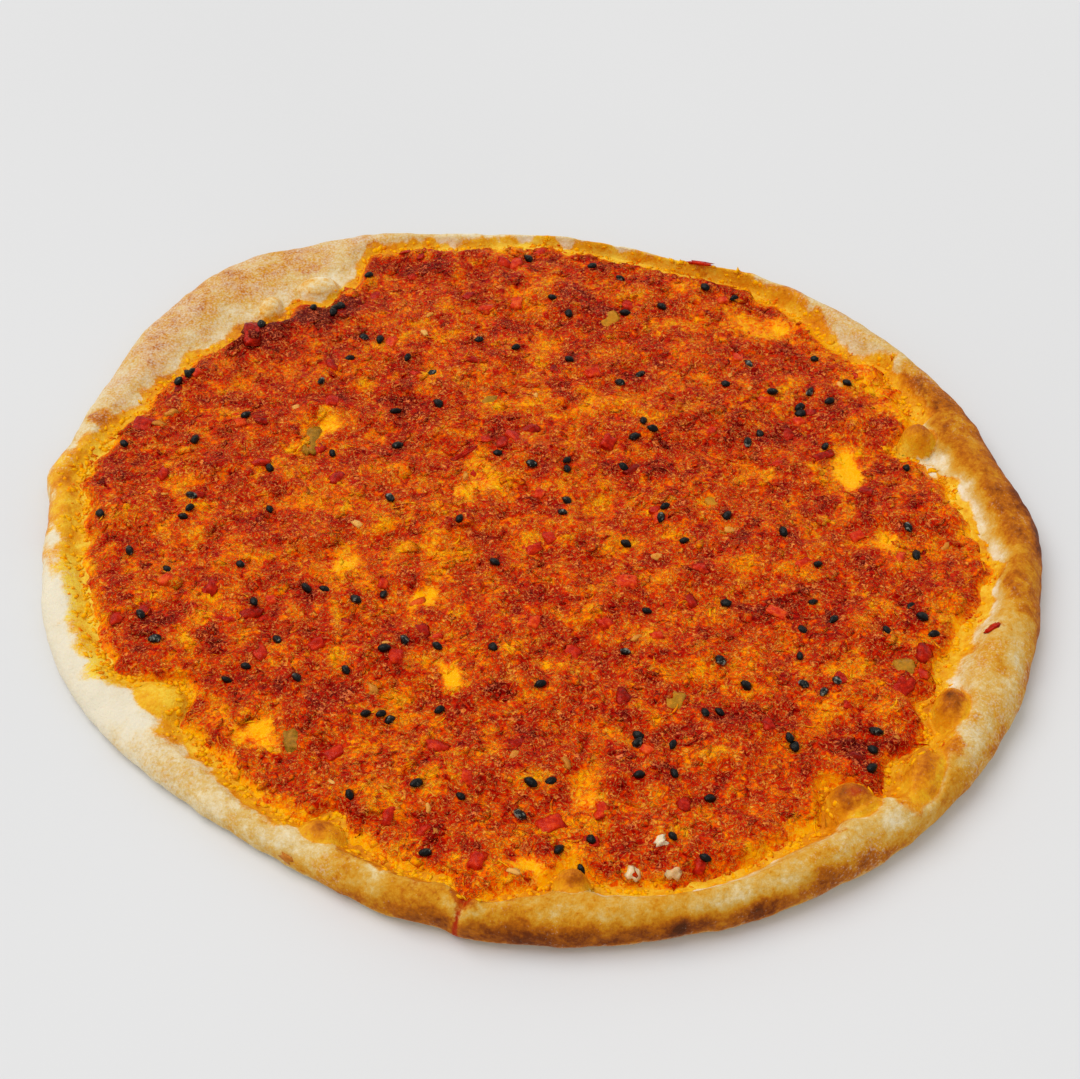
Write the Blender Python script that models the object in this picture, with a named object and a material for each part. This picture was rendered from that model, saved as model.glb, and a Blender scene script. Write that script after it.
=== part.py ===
"""A hand-stretched oval flatbread, baked with a red pepper spread in its dish and black seeds on top.

Two solids, in metres, +Z up, resting on z = 0 with the outline centred on the origin:
  flatbread      the crust: flat underside, thin floor, swollen uneven rim, blisters, and scraps baked on the rim
  pepper_spread  the lumpy spread in the dish, with seeds, diced pepper, chopped skins and crumbs sunk in its top
"""

import math
import random

import bmesh
import bpy
from mathutils import Matrix, Vector, noise
from mathutils.bvhtree import BVHTree

MM = 0.001

# Outline of the crust, seen from above. Directions are in degrees from +X towards +Y.
MEAN_RADIUS = 108.5 * MM
OUTLINE_LOBES = (  # count, size in mm, direction
    (1, 2.0, 123),
    (2, 7.0, -31.3),
    (3, 1.8, 16.4),
    (4, 1.5, 30.5),
    (5, 1.2, -17.4),
    (6, 0.5, 13),
)
OUTLINE_PULLS = (  # where fingers pulled the dough out or pressed it in: direction, reach either way, size in mm
    (-1, 9, 1.3),
    (12, 9, -1.2),
    (48, 24, 1.4),
    (68, 9, -1.3),
    (88, 9, 1.2),
    (104, 9, -1.3),
    (129, 10, 1.8),
    (153, 10, -1.2),
    (170, 5, 2.6),
    (184, 11, -0.8),
    (254, 8, 1.0),
)

# Width in mm of the bare rim between the spread and the outer edge, by direction, without the blisters.
RIM_WIDTHS = {
    0: 13.5, 5: 14.6, 12: 14.4, 18: 12.8, 24: 11.5, 29: 9, 33: 6.8, 38: 10.5, 42: 10, 47: 7.5, 53: 5.8, 58: 4, 66: 2.6,
    80: 2.8, 90: 3.2, 98: 5, 106: 5.5, 112: 8, 120: 21.5, 128: 23.5, 137: 21.5, 146: 17, 154: 12.5, 162: 9.5, 172: 8.2,
    184: 8.8, 194: 10.8, 202: 10.5, 212: 13, 222: 10.5, 232: 7.5, 243: 8.5, 254: 9.5, 264: 9, 273: 11.5, 289: 9.2,
    304: 11.5, 316: 9.5, 326: 12.5, 336: 18, 341: 16, 348: 12.5, 354: 12,
}  # fmt: skip
RIM_HEIGHT = 8.0 * MM
RIM_HEIGHT_SWING = 2.0 * MM
RIM_HIGH_SIDE = math.radians(-40)
RIM_SAG = 1.7 * MM
RIM_SAG_DIRECTION = math.radians(226)
RIM_SAG_REACH = math.radians(38)
RIM_UNEVENNESS = 0.9 * MM
RIM_SWELL_LENGTH = 24 * MM
CREST_INSET = 8 * MM
FOOT_INSET = 3.2 * MM
BELLY_SHARE = 0.38
FLOOR_HEIGHT = 4.2 * MM

# Air bubbles at the rim's inner edge: place, length, width, turn in degrees, height of the top above the table.
BLISTERS = (
    (88.5, 28, 8.5, 8.0, 0, 9.8),
    (87, -53, 10.0, 6.5, 80, 9.6),
    (63.5, -77, 10.5, 9.5, 10, 9.8),
    (78.5, -70, 16.0, 7.5, 75, 9.6),
    (7, -96, 8.0, 6.5, 0, 9.4),
    (-42, -82, 9.5, 6.5, -20, 7.6),
    (-54.5, 83.5, 9.0, 7.0, 10, 7.8),
    (-66, 76, 8.5, 5.5, 75, 7.2),
    (-78, -48, 12.0, 8.5, -35, 7.0),
)
BLISTER_MARGIN = 1.2 * MM
DENT_SPREAD = 1.25

# The rim is torn and overlapped here: it steps out on one side, and a tongue of spread runs into the fold.
FOLD_DIRECTION = math.radians(261)
FOLD_STEP = 1.4 * MM
FOLD_FADE = math.radians(14)
FOLD_BLUR = math.radians(1.5)
TONGUE_DIRECTION = math.radians(264)
TONGUE_REACH = math.radians(5)
TONGUE_LENGTH = 1.5 * MM

# The spread. Its thin places let the oiled bread show through.
SPREAD_GAP = 0.3 * MM
SPREAD_EDGE_GAP = 0.9 * MM
SPREAD_THICKNESS = 1.7 * MM
SPREAD_THINNEST = 0.8 * MM
CLUMP_LENGTH = 15 * MM
CLUMP_HEIGHT = 1.5 * MM
LUMP_LENGTH = 5.5 * MM
LUMP_HEIGHT = 1.0 * MM
SPREAD_ROUNDING = 4 * MM
THIN_FADE = 1.5
THIN_PLACES = (  # place, length and width in mm, turn in degrees
    (72, 19, 16, 9, 95),
    (78, -2, 10, 5, 80),
    (-50, 33, 15, 8, 20),
    (-24, -20, 11, 7, 0),
    (-20, -41, 16, 7, -35),
    (-1, -88, 15, 7, -5),
    (-58, -58, 14, 8, -10),
    (-42, -8, 16, 8, 10),
    (2, 61, 16, 9, 0),
    (14, 6, 12, 7, 40),
    (26, -25, 15, 9, -70),
    (9, -71, 14, 8, 60),
    (57, 68, 22, 9, -40),
)

# What is sunk in the spread. Sizes in mm.
PLACING_SEED = 20
SEED_SIZE = (3.3, 2.2, 1.8)
SEED_SIZE_RANGE = (0.85, 1.12)
SEED_EDGE_GAP = 4.5 * MM
SEED_SINK = 0.3
SEED_SPOTS = (  # along the dish from the back to the front
    (-2, 94), (14, 90), (-42, 87), (21, 86), (42, 82), (-51, 80), (4, 78), (49, 78), (-50, 76), (31, 75), (-55, 75),
    (-50, 73), (22, 73), (8, 72), (-69, 69), (-42, 64), (-14, 63), (-38, 63), (-5, 60), (-31, 56), (67, 56), (8, 55),
    (-86, 53), (25, 51), (-84, 50), (-86, 48), (20, 48), (-51, 47), (45, 47), (74, 47), (56, 44), (65, 44), (-23, 40),
    (69, 40), (62, 39), (-33, 38), (62, 37), (-68, 36), (25, 33), (27, 31), (52, 30), (23, 29), (-79, 28), (49, 27),
    (-96, 27), (-32, 26), (67, 26), (-47, 24), (-9, 24), (7, 21), (-1, 20), (-61, 19), (85, 19), (7, 18), (-78, 10),
    (-33, 9), (7, 8), (-60, 6), (-78, 6), (29, 6), (-99, 4), (6, 4), (43, 4), (28, 3), (-79, 3), (-17, 2), (83, 0),
    (55, -2), (20, -4), (33, -4), (-90, -6), (84, -8), (-65, -11), (-9, -11), (62, -11), (-50, -18), (-33, -19),
    (-39, -21), (-61, -22), (60, -22), (41, -23), (24, -24), (-85, -26), (64, -27), (83, -27), (57, -30), (75, -30),
    (85, -31), (-28, -33), (-55, -33), (-81, -33), (-21, -34), (-9, -35), (-32, -36), (19, -36), (56, -37), (39, -38),
    (-61, -40), (-40, -41), (-65, -43), (63, -44), (-50, -44), (56, -45), (1, -45), (44, -45), (60, -47), (-20, -51),
    (38, -52), (-35, -53), (-32, -53), (35, -53), (70, -57), (21, -58), (52, -59), (21, -60), (28, -61), (53, -61),
    (69, -62), (71, -64), (28, -68), (21, -69), (69, -68), (-24, -71), (-1, -71), (35, -74), (-15, -74), (-38, -75),
    (-3, -78), (11, -84), (27, -84), (-22, -88), (34, -91), (5, -91),
)  # fmt: skip
LARGE_PIECES = (  # kind, place, size, turn: the pieces of pepper that stand out from the minced ones
    ("red", (-92, 34), (5.5, 5.0, 1.8), 20),
    ("red", (20, -16), (5.0, 4.5, 1.4), 35),
    ("red", (3, -80), (6.0, 4.5, 1.4), -60),
    ("red", (52, -25), (5.5, 3.5, 1.4), 10),
    ("red", (77, -45), (5.5, 4.5, 1.6), 70),
    ("red", (66, 23), (6.5, 2.2, 1.2), 85),
    ("red", (-17, 24), (9.0, 1.4, 1.4), 55),
    ("red", (-41, -62), (5.0, 3.5, 1.4), 15),
    ("red", (-70, 65), (8.0, 4.5, 1.8), 30),
    ("green", (-52, 29), (10.0, 3.6, 1.5), -25),
    ("green", (-50, -59), (6.0, 4.0, 1.0), 0),
    ("green", (-11, 42), (4.5, 3.6, 1.2), 10),
    ("green", (29, -49), (5.5, 4.5, 1.2), 30),
    ("green", (40, 9), (6.0, 4.5, 1.4), 10),
    ("green", (18, 71), (6.5, 4.5, 1.2), 0),
    ("green", (78, -40), (5.0, 5.5, 1.6), 20),
    ("crumb", (25, -85), (2.6, 1.8, 1.4), 60),
    ("crumb", (19, -92), (3.2, 2.4, 1.6), 10),
    ("crumb", (27, -92), (3.0, 2.2, 1.4), 0),
)
SMALL_DICE_COUNT = 26
DICE_SIZE = (3.6, 2.8, 1.5)
DICE_SIZE_RANGE = (0.8, 1.25)
DICE_APART = 11 * MM
DICE_EDGE_GAP = 5 * MM
PIECE_SINK = 0.4
CUT_TAPER = 0.8

# Scraps stuck on the bare rim: place, size, turn.
RIM_SCRAPS = (
    ((40.5, 90.6), (7.0, 1.8, 1.0), -25),
    ((99, -32), (4.5, 2.6, 1.2), -50),
    ((-48.5, -86), (4.0, 2.0, 1.0), -30),
)

RIM_SEGMENTS = 126
SLOPE_STEPS = 4
SHOULDER_STEPS = 5
FOOT_STEPS = 2
SPREAD_CELLS = 37
SHARP_ANGLE = math.radians(38)
SKY = 50 * MM


def smooth(low, high, value):
    """0 at low, 1 at high, with an even start and end."""
    share = min(1.0, max(0.0, (value - low) / (high - low)))
    return share * share * (3 - 2 * share)


def bump(distance):
    """1 at 0, falling evenly to 0 at 1 and beyond."""
    return max(0.0, 1.0 - distance * distance) ** 2


def turn_between(first, second):
    """Angle between two directions, from -pi to pi."""
    return (first - second + math.pi) % math.tau - math.pi


def rim_width(turn):
    """Width of the bare rim, eased from each entry of the table to the next."""
    turn = math.degrees(turn) % 360
    ways = [*RIM_WIDTHS, 360]
    last = max(index for index, way in enumerate(ways) if way <= turn)
    start, end = ways[last], ways[last + 1]
    narrow, wide = RIM_WIDTHS[start], RIM_WIDTHS[end % 360]
    return (narrow + (wide - narrow) * smooth(start, end, turn)) * MM


def edge_radius(turn):
    """Outer edge of the crust."""
    lobes = sum(size * math.cos(count * (turn - math.radians(way))) for count, size, way in OUTLINE_LOBES)
    pulls = sum(
        size * bump(turn_between(turn, math.radians(way)) / math.radians(reach)) for way, reach, size in OUTLINE_PULLS
    )
    past_fold = turn_between(turn, FOLD_DIRECTION)
    step = smooth(-FOLD_BLUR, FOLD_BLUR, past_fold) * math.exp(-max(0.0, past_fold) / FOLD_FADE)
    return MEAN_RADIUS + (lobes + pulls) * MM + FOLD_STEP * step


def spread_radius(turn):
    """Where the floor of the dish ends and the rim begins to rise: it bends inwards round each blister."""
    radius = edge_radius(turn) - rim_width(turn)
    radius += TONGUE_LENGTH * bump(turn_between(turn, TONGUE_DIRECTION) / TONGUE_REACH)
    dent = 0.0
    for x, y, length, width, _, _ in BLISTERS:
        half = (length + width) / 4 * MM + BLISTER_MARGIN
        centre = math.hypot(x, y) * MM
        away = turn_between(turn, math.atan2(y, x)) * centre / (DENT_SPREAD * half)
        dent = max(dent, (radius - centre + half) * bump(away))
    return radius - dent


def rim_height(turn):
    """Height of the rim's crest: high and swollen at the front right, low at the back left and sagging front left."""
    along = Vector((math.cos(turn), math.sin(turn), 0)) * MEAN_RADIUS / RIM_SWELL_LENGTH
    swing = RIM_HEIGHT_SWING * math.cos(turn - RIM_HIGH_SIDE)
    sag = RIM_SAG * bump(turn_between(turn, RIM_SAG_DIRECTION) / RIM_SAG_REACH)
    return RIM_HEIGHT + swing - sag + RIM_UNEVENNESS * noise.noise(along)


def rim_point(turn, station):
    """A point of the rim. Station 0 to 1 climbs from the dish to the crest, 1 to 2 rounds the shoulder out to the
    edge, and 2 to 3 rounds under to the table."""
    edge = edge_radius(turn)
    width = edge - spread_radius(turn)
    height = rim_height(turn)
    belly = BELLY_SHARE * height
    crest_inset = min(CREST_INSET, 0.5 * width)
    sweep = (station % 1 or 1.0) * math.pi / 2
    if station <= 1:
        inset = width + (crest_inset - width) * station
        z = FLOOR_HEIGHT + (height - FLOOR_HEIGHT) * smooth(0, 1, station)
    elif station <= 2:
        inset = crest_inset * (1 - math.sin(sweep))
        z = belly + (height - belly) * math.cos(sweep)
    else:
        inset = FOOT_INSET * (1 - math.cos(sweep))
        z = belly * (1 - math.sin(sweep))
    radius = edge - inset
    return Vector((radius * math.cos(turn), radius * math.sin(turn), z))


def spread_thickness(x, y):
    """Thickness of the spread at a place in the dish."""
    clumps = CLUMP_HEIGHT * noise.noise(Vector((x, y, 0)) / CLUMP_LENGTH)
    lumps = LUMP_HEIGHT * noise.noise(Vector((x, y, SKY)) / LUMP_LENGTH)
    thickness = max(SPREAD_THINNEST, SPREAD_THICKNESS + clumps + lumps)
    thin = 0.0
    for centre_x, centre_y, length, width, turn in THIN_PLACES:
        local = Matrix.Rotation(-math.radians(turn), 2) @ Vector((x / MM - centre_x, y / MM - centre_y))
        thin = max(thin, bump(THIN_FADE * math.hypot(local.x / length, local.y / width)))
    thickness += thin * (SPREAD_THINNEST - thickness)
    to_edge = spread_radius(math.atan2(y, x)) - math.hypot(x, y)
    return SPREAD_THINNEST + (thickness - SPREAD_THINNEST) * smooth(0, SPREAD_ROUNDING, to_edge)


def named_object(name, bm, material):
    """Puts a finished bmesh in the scene as one object."""
    bmesh.ops.recalc_face_normals(bm, faces=bm.faces)
    mesh = bpy.data.meshes.new(name)
    bm.to_mesh(mesh)
    bm.free()
    mesh.materials.append(material)
    made = bpy.data.objects.new(name, mesh)
    bpy.context.scene.collection.objects.link(made)
    return made


def plain_material(name, colour, roughness):
    material = bpy.data.materials.new(name)
    material.use_nodes = True
    shader = material.node_tree.nodes["Principled BSDF"]
    shader.inputs["Base Color"].default_value = (*colour, 1)
    shader.inputs["Roughness"].default_value = roughness
    return material


def fuse(body, pieces):
    """Joins pieces to the body they lie on, as one closed solid."""
    group = bpy.data.collections.new(body.name + "_pieces")
    bpy.context.scene.collection.children.link(group)
    for piece in pieces:
        bpy.context.scene.collection.objects.unlink(piece)
        group.objects.link(piece)
    union = body.modifiers.new("fuse", "BOOLEAN")
    union.operation = "UNION"
    union.operand_type = "COLLECTION"
    union.collection = group
    union.solver = "MANIFOLD"
    union.material_mode = "TRANSFER"
    bpy.context.view_layer.update()
    fused = bpy.data.meshes.new_from_object(body.evaluated_get(bpy.context.evaluated_depsgraph_get()))
    fused.shade_smooth()
    fused.set_sharp_from_angle(angle=SHARP_ANGLE)
    body.modifiers.clear()
    body.data = fused
    for piece in pieces:
        bpy.data.objects.remove(piece)
    bpy.data.collections.remove(group)
    return body


def lying(surface, spot, size, turn, sink):
    """Where a unit-sized piece goes so that it lies on a surface, with a share of its thickness sunk in."""
    hit, normal = surface.ray_cast(Vector((*spot, SKY)), Vector((0, 0, -1)))[:2]
    facing = normal.to_track_quat("Z", "Y").to_matrix().to_4x4()
    centre = hit + normal * size[2] * (0.5 - sink)
    return Matrix.Translation(centre) @ facing @ Matrix.Rotation(turn, 4, "Z") @ Matrix.Diagonal((*size, 1))


def rounded(name, place, material, subdivisions=1):
    """A seed, crumb or bubble: a faceted ball of unit size, put and stretched into its place."""
    bm = bmesh.new()
    bmesh.ops.create_icosphere(bm, subdivisions=subdivisions, radius=0.5, matrix=place)
    return named_object(name, bm, material)


def chopped(name, place, material):
    """A cut piece: a block of unit size whose top is a little smaller than its foot, put and stretched into place."""
    bm = bmesh.new()
    bmesh.ops.create_cube(bm, size=1)
    for corner in bm.verts:
        if corner.co.z > 0:
            corner.co.xy *= CUT_TAPER
    bmesh.ops.transform(bm, matrix=place, verts=bm.verts)
    return named_object(name, bm, material)


def make_flatbread(material):
    """The crust: one ring is drawn out from the dish's floor, over the rim and under to the table."""
    stations = [step / SLOPE_STEPS for step in range(SLOPE_STEPS + 1)]
    stations += [1 + (step + 1) / SHOULDER_STEPS for step in range(SHOULDER_STEPS)]
    stations += [2 + (step + 1) / FOOT_STEPS for step in range(FOOT_STEPS)]
    turns = [math.tau * step / RIM_SEGMENTS for step in range(RIM_SEGMENTS)]
    bm = bmesh.new()
    ring = bmesh.ops.create_circle(bm, segments=RIM_SEGMENTS, radius=1)["verts"]
    for vert, turn in zip(ring, turns):
        vert.co = rim_point(turn, stations[0])
    edges = list(bm.edges)
    bmesh.ops.edgeloop_fill(bm, edges=edges)
    for station in stations[1:]:
        drawn = bmesh.ops.extrude_edge_only(bm, edges=edges)["geom"]
        edges = [item for item in drawn if isinstance(item, bmesh.types.BMEdge) and item.is_boundary]
        copies = [item for item in drawn if isinstance(item, bmesh.types.BMVert)]
        for vert in copies:
            turn = round(math.atan2(vert.co.y, vert.co.x) / math.tau * RIM_SEGMENTS) * math.tau / RIM_SEGMENTS
            vert.co = rim_point(turn, station)
    bmesh.ops.edgeloop_fill(bm, edges=edges)
    bmesh.ops.recalc_face_normals(bm, faces=bm.faces)
    surface = BVHTree.FromBMesh(bm)
    body = named_object("flatbread", bm, material)
    pieces = []
    for x, y, length, width, turn, top in BLISTERS:
        place = Matrix.Translation(Vector((x, y, 0.5 * top)) * MM) @ Matrix.Rotation(math.radians(turn), 4, "Z")
        size = Matrix.Diagonal((length * MM, width * MM, top * MM, 1))
        pieces.append(rounded("blister", place @ size, material, subdivisions=2))
    for spot, size, turn in RIM_SCRAPS:
        place = lying(surface, Vector(spot) * MM, Vector(size) * MM, math.radians(turn), PIECE_SINK)
        pieces.append(chopped("scrap", place, material))
    return fuse(body, pieces)


def spread_slab():
    """The bare spread: a square grid pulled round to the dish's outline, raised by the thickness, with a flat foot."""
    bm = bmesh.new()
    bmesh.ops.create_grid(bm, x_segments=SPREAD_CELLS, y_segments=SPREAD_CELLS, size=1)
    foot = FLOOR_HEIGHT + SPREAD_GAP
    for vert in bm.verts:
        across, along = vert.co.x, vert.co.y
        disc = Vector((across * math.sqrt(1 - along * along / 2), along * math.sqrt(1 - across * across / 2)))
        turn = math.atan2(disc.y, disc.x)
        flat = disc * (spread_radius(turn) - SPREAD_EDGE_GAP)
        vert.co = (flat.x, flat.y, foot + spread_thickness(flat.x, flat.y))
    rim = [edge for edge in bm.edges if edge.is_boundary]
    drawn = bmesh.ops.extrude_edge_only(bm, edges=rim)["geom"]
    for vert in drawn:
        if isinstance(vert, bmesh.types.BMVert):
            vert.co.z = foot
    bmesh.ops.edgeloop_fill(bm, edges=[item for item in drawn if isinstance(item, bmesh.types.BMEdge) and item.is_boundary])
    return bm


def scattered(draw, count, apart, margin, taken):
    """Places spread evenly over the dish, each at least apart from the others and from those taken."""
    places = []
    while len(places) < count:
        turn = draw.uniform(0, math.tau)
        reach = math.sqrt(draw.random()) * (spread_radius(turn) - margin)
        place = Vector((reach * math.cos(turn), reach * math.sin(turn)))
        if all((place - other).length > apart for other in places + taken):
            places.append(place)
    return places


def drawn_in(spot, margin):
    """The spot itself, or one nearer the middle where it would come too close to the spread's edge."""
    reach = spread_radius(math.atan2(spot.y, spot.x)) - margin
    return spot * min(1.0, reach / spot.length)


def sunk_pieces(draw, surface, materials):
    """Everything that shows in the top of the spread."""
    pieces = []
    taken = []
    for kind, spot, size, turn in LARGE_PIECES:
        spot = Vector(spot) * MM
        taken.append(spot)
        place = lying(surface, spot, Vector(size) * MM, math.radians(turn), PIECE_SINK)
        pieces.append((rounded if kind == "crumb" else chopped)(kind, place, materials[kind]))
    for spot in scattered(draw, SMALL_DICE_COUNT, DICE_APART, DICE_EDGE_GAP, taken):
        size = Vector(DICE_SIZE) * MM * draw.uniform(*DICE_SIZE_RANGE)
        place = lying(surface, spot, size, draw.uniform(0, math.tau), PIECE_SINK)
        pieces.append(chopped("red", place, materials["red"]))
    for spot in SEED_SPOTS:
        size = Vector(SEED_SIZE) * MM * draw.uniform(*SEED_SIZE_RANGE)
        place = lying(surface, drawn_in(Vector(spot) * MM, SEED_EDGE_GAP), size, draw.uniform(0, math.tau), SEED_SINK)
        pieces.append(rounded("seed", place, materials["seed"]))
    return pieces


def make_spread(materials):
    bm = spread_slab()
    bmesh.ops.recalc_face_normals(bm, faces=bm.faces)
    surface = BVHTree.FromBMesh(bm)
    body = named_object("pepper_spread", bm, materials["spread"])
    return fuse(body, sunk_pieces(random.Random(PLACING_SEED), surface, materials))


def main():
    for old in list(bpy.data.objects):
        bpy.data.objects.remove(old)
    materials = {
        "spread": plain_material("pepper_paste", (0.55, 0.10, 0.015), 0.40),
        "red": plain_material("red_pepper", (0.50, 0.03, 0.01), 0.35),
        "green": plain_material("green_pepper", (0.30, 0.20, 0.03), 0.35),
        "crumb": plain_material("pale_crumb", (0.80, 0.62, 0.40), 0.60),
        "seed": plain_material("black_seed", (0.012, 0.012, 0.014), 0.35),
    }
    make_flatbread(plain_material("baked_dough", (0.70, 0.44, 0.18), 0.70))
    make_spread(materials)


main()
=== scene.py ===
"""A hand-stretched oval flatbread, baked with a red pepper and nut spread in its dish and black seeds on top.

The crust is one closed skin drawn out ring by ring. The spread is one lumpy closed skin that lies in the
dish, with the mince, shreds, nut crumbs, diced pepper and seeds laid into its top. Where a value isn't
multiplied by MM, a size is in millimetres and a direction in degrees from +X towards +Y.
"""
import functools
import math
import random

import bmesh
import bpy
import numpy as np
from mathutils import Matrix, Vector, noise
from mathutils.bvhtree import BVHTree


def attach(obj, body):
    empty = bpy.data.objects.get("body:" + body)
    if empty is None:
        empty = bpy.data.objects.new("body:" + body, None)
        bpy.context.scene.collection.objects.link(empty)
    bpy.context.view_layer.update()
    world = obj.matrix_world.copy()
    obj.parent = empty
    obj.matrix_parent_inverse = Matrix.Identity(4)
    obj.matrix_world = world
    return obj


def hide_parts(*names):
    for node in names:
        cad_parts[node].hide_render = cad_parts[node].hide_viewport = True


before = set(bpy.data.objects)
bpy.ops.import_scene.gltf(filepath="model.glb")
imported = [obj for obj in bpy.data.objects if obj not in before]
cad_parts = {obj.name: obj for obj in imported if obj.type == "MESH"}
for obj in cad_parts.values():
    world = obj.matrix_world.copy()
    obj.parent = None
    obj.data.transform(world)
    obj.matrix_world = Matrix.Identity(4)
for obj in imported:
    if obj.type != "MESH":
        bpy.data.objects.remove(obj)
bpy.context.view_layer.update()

MM = 0.001
UP = Vector((0, 0, 1))

# Outline of the crust, seen from above.
MEAN_RADIUS = 108.5 * MM
OUTLINE_LOBES = (  # count, size, direction
    (1, 2.0, 123), (2, 7.0, -31.3), (3, 1.8, 16.4), (4, 1.5, 30.5), (5, 1.2, -17.4), (6, 0.5, 13),
)
OUTLINE_PULLS = (  # where fingers pulled the dough out or pressed it in: direction, reach either way, size
    (-1, 9, 1.3), (12, 9, -1.2), (48, 24, 1.4), (68, 9, -1.3), (88, 9, 1.2), (104, 9, -1.3), (129, 10, 1.8),
    (153, 10, -1.2), (170, 5, 2.6), (184, 11, -0.8), (254, 8, 1.0),
)

# Width of the bare rim between the spread and the outer edge, by direction, without the blisters.
RIM_WIDTHS = {
    0: 13.5, 5: 14.6, 12: 14.4, 18: 12.8, 24: 11.5, 29: 9, 33: 6.8, 38: 10.5, 42: 10, 47: 7.5, 53: 5.8, 58: 4,
    66: 2.6, 80: 2.8, 90: 3.2, 98: 5, 106: 5.5, 112: 8, 120: 21.5, 128: 23.5, 137: 21.5, 146: 17, 154: 12.5,
    162: 9.5, 172: 8.2, 184: 8.8, 194: 10.8, 202: 10.5, 212: 13, 222: 10.5, 232: 7.5, 243: 8.5, 254: 9.5,
    264: 9, 273: 11.5, 289: 9.2, 304: 11.5, 316: 9.5, 326: 12.5, 336: 18, 341: 16, 348: 12.5, 354: 12,
}
RIM_HEIGHT = 8.0 * MM
RIM_HEIGHT_SWING = 2.0 * MM
RIM_HIGH_SIDE = math.radians(-40)
RIM_SAG = 1.7 * MM
RIM_SAG_DIRECTION = math.radians(226)
RIM_SAG_REACH = math.radians(38)
RIM_UNEVENNESS = 0.9 * MM
RIM_SWELL_LENGTH = 24 * MM
CREST_INSET = 8 * MM
FOOT_INSET = 3.2 * MM
BELLY_SHARE = 0.38
FLOOR_HEIGHT = 4.2 * MM

# Air bubbles at the rim's inner edge: place, length, width, turn, height of the top, how brown the top is,
# how oily, and how softly it runs into the skin round it.
BLISTERS = (
    (88.5, 28, 8.5, 8.0, 0, 10.6, 0.58, 0.8, 0.0),
    (86, -52, 11.0, 7.5, 80, 11.0, 0.62, 0.8, 0.1),
    (63, -76, 11.0, 10.0, 10, 11.2, 0.62, 0.9, 0.0),
    (78, -69, 16.0, 8.0, 75, 10.8, 0.46, 0.85, 0.2),
    (7, -95, 8.0, 6.5, 0, 10.7, 0.6, 0.8, 0.1),
    (-42, -82, 9.5, 6.5, -20, 7.6, 0.5, 1.0, 0.6),
    (-54.5, 83.5, 10.5, 7.0, 10, 7.4, 0.12, 0.35, 1.0),
    (-66, 76, 8.5, 5.5, 75, 6.8, 0.18, 0.4, 1.0),
    (-78, -48, 12.0, 8.5, -35, 7.0, 0.1, 1.0, 1.0),
)
BLISTER_MARGIN = 1.2 * MM
BLISTER_BLEND = 0.4 * MM
SOFT_BLISTER_BLEND = 2.6 * MM
BLISTER_CREASE = 0.9 * MM
BLISTER_CREASE_WIDTH = 0.3
BLISTER_FOOT_TOAST = 0.14
BLISTER_BROWNING = 0.85
BLISTER_MOTTLING = 0.3
BLISTER_MOTTLE_LENGTH = 2.5 * MM
DENT_SPREAD = 1.25

# The rim is torn and overlapped here: it steps out on one side, and a tongue of spread runs into the fold.
FOLD_DIRECTION = math.radians(261)
FOLD_STEP = 1.4 * MM
FOLD_FADE = math.radians(14)
FOLD_BLUR = math.radians(1.5)
FOLD_FOOT = Vector((-16.6, -106)) * MM
FOLD_HEAD = Vector((-10, -93)) * MM
FOLD_DEPTH = 1.5 * MM
FOLD_WIDTH = 0.9 * MM
FOLD_LIP = 0.7 * MM
TONGUE_DIRECTION = math.radians(264)
TONGUE_REACH = math.radians(5)
TONGUE_LENGTH = 1.5 * MM

# How the crust was baked, by direction. 0 is raw dough, 1 is dark brown.
# On the left side, about 186 to 214 degrees, the very low toast in these three tables is partly painted
# light: that side is drawn as pale as where the window's light falls on it.
LIP_TOAST = {  # at the foot of the rim's inner slope
    0: 0.1, 20: 0.12, 30: 0.25, 45: 0.2, 60: 0.12, 90: 0.06, 116: 0.2, 130: 0.34, 150: 0.26, 165: 0.1,
    200: 0.05, 220: 0.18, 240: 0.26, 256: 0.36, 268: 0.26, 280: 0.14, 296: 0.16, 306: 0.28, 318: 0.3,
    328: 0.25, 338: 0.1, 350: 0.14,
}
CREST_TOAST = {
    0: 0.74, 12: 0.72, 24: 0.6, 34: 0.36, 50: 0.32, 62: 0.24, 75: 0.14, 105: 0.2, 116: 0.42, 126: 0.5,
    145: 0.5, 156: 0.36, 168: 0.2, 178: 0.15, 188: 0.04, 208: 0.05, 216: 0.2, 228: 0.28, 240: 0.3, 252: 0.42,
    264: 0.46, 280: 0.38, 294: 0.36, 302: 0.34, 312: 0.32, 320: 0.36, 330: 0.34, 340: 0.44, 350: 0.62,
}
OUTER_TOAST = {  # on the outer side, halfway down
    0: 0.82, 12: 0.82, 30: 0.62, 45: 0.56, 62: 0.52, 75: 0.32, 105: 0.22, 120: 0.36, 135: 0.42, 150: 0.36,
    172: 0.25, 180: 0.36, 187: 0.06, 205: 0.05, 220: 0.22, 234: 0.32, 246: 0.48, 256: 0.68, 266: 0.8,
    290: 0.8, 304: 0.66, 316: 0.54, 330: 0.52, 346: 0.7,
}
# The near-white dusting on the left side, about 186 to 214 degrees, is partly flour and partly painted light:
# that side is drawn as white as where the window's light falls on it.
FLOUR_AND_LIT_SIDE = {  # share of the skin that flour still covers
    0: 0.0, 20: 0.0, 30: 0.25, 40: 0.42, 56: 0.45, 70: 0.3, 100: 0.35, 114: 0.46, 124: 0.42, 142: 0.42,
    154: 0.5, 166: 0.4, 176: 0.2, 186: 0.95, 206: 1.1, 214: 0.7, 222: 0.4, 232: 0.26, 244: 0.2, 254: 0.0,
    296: 0.0, 302: 0.16, 310: 0.16, 318: 0.05, 328: 0.28, 336: 0.28, 344: 0.1, 352: 0.0,
}
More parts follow.
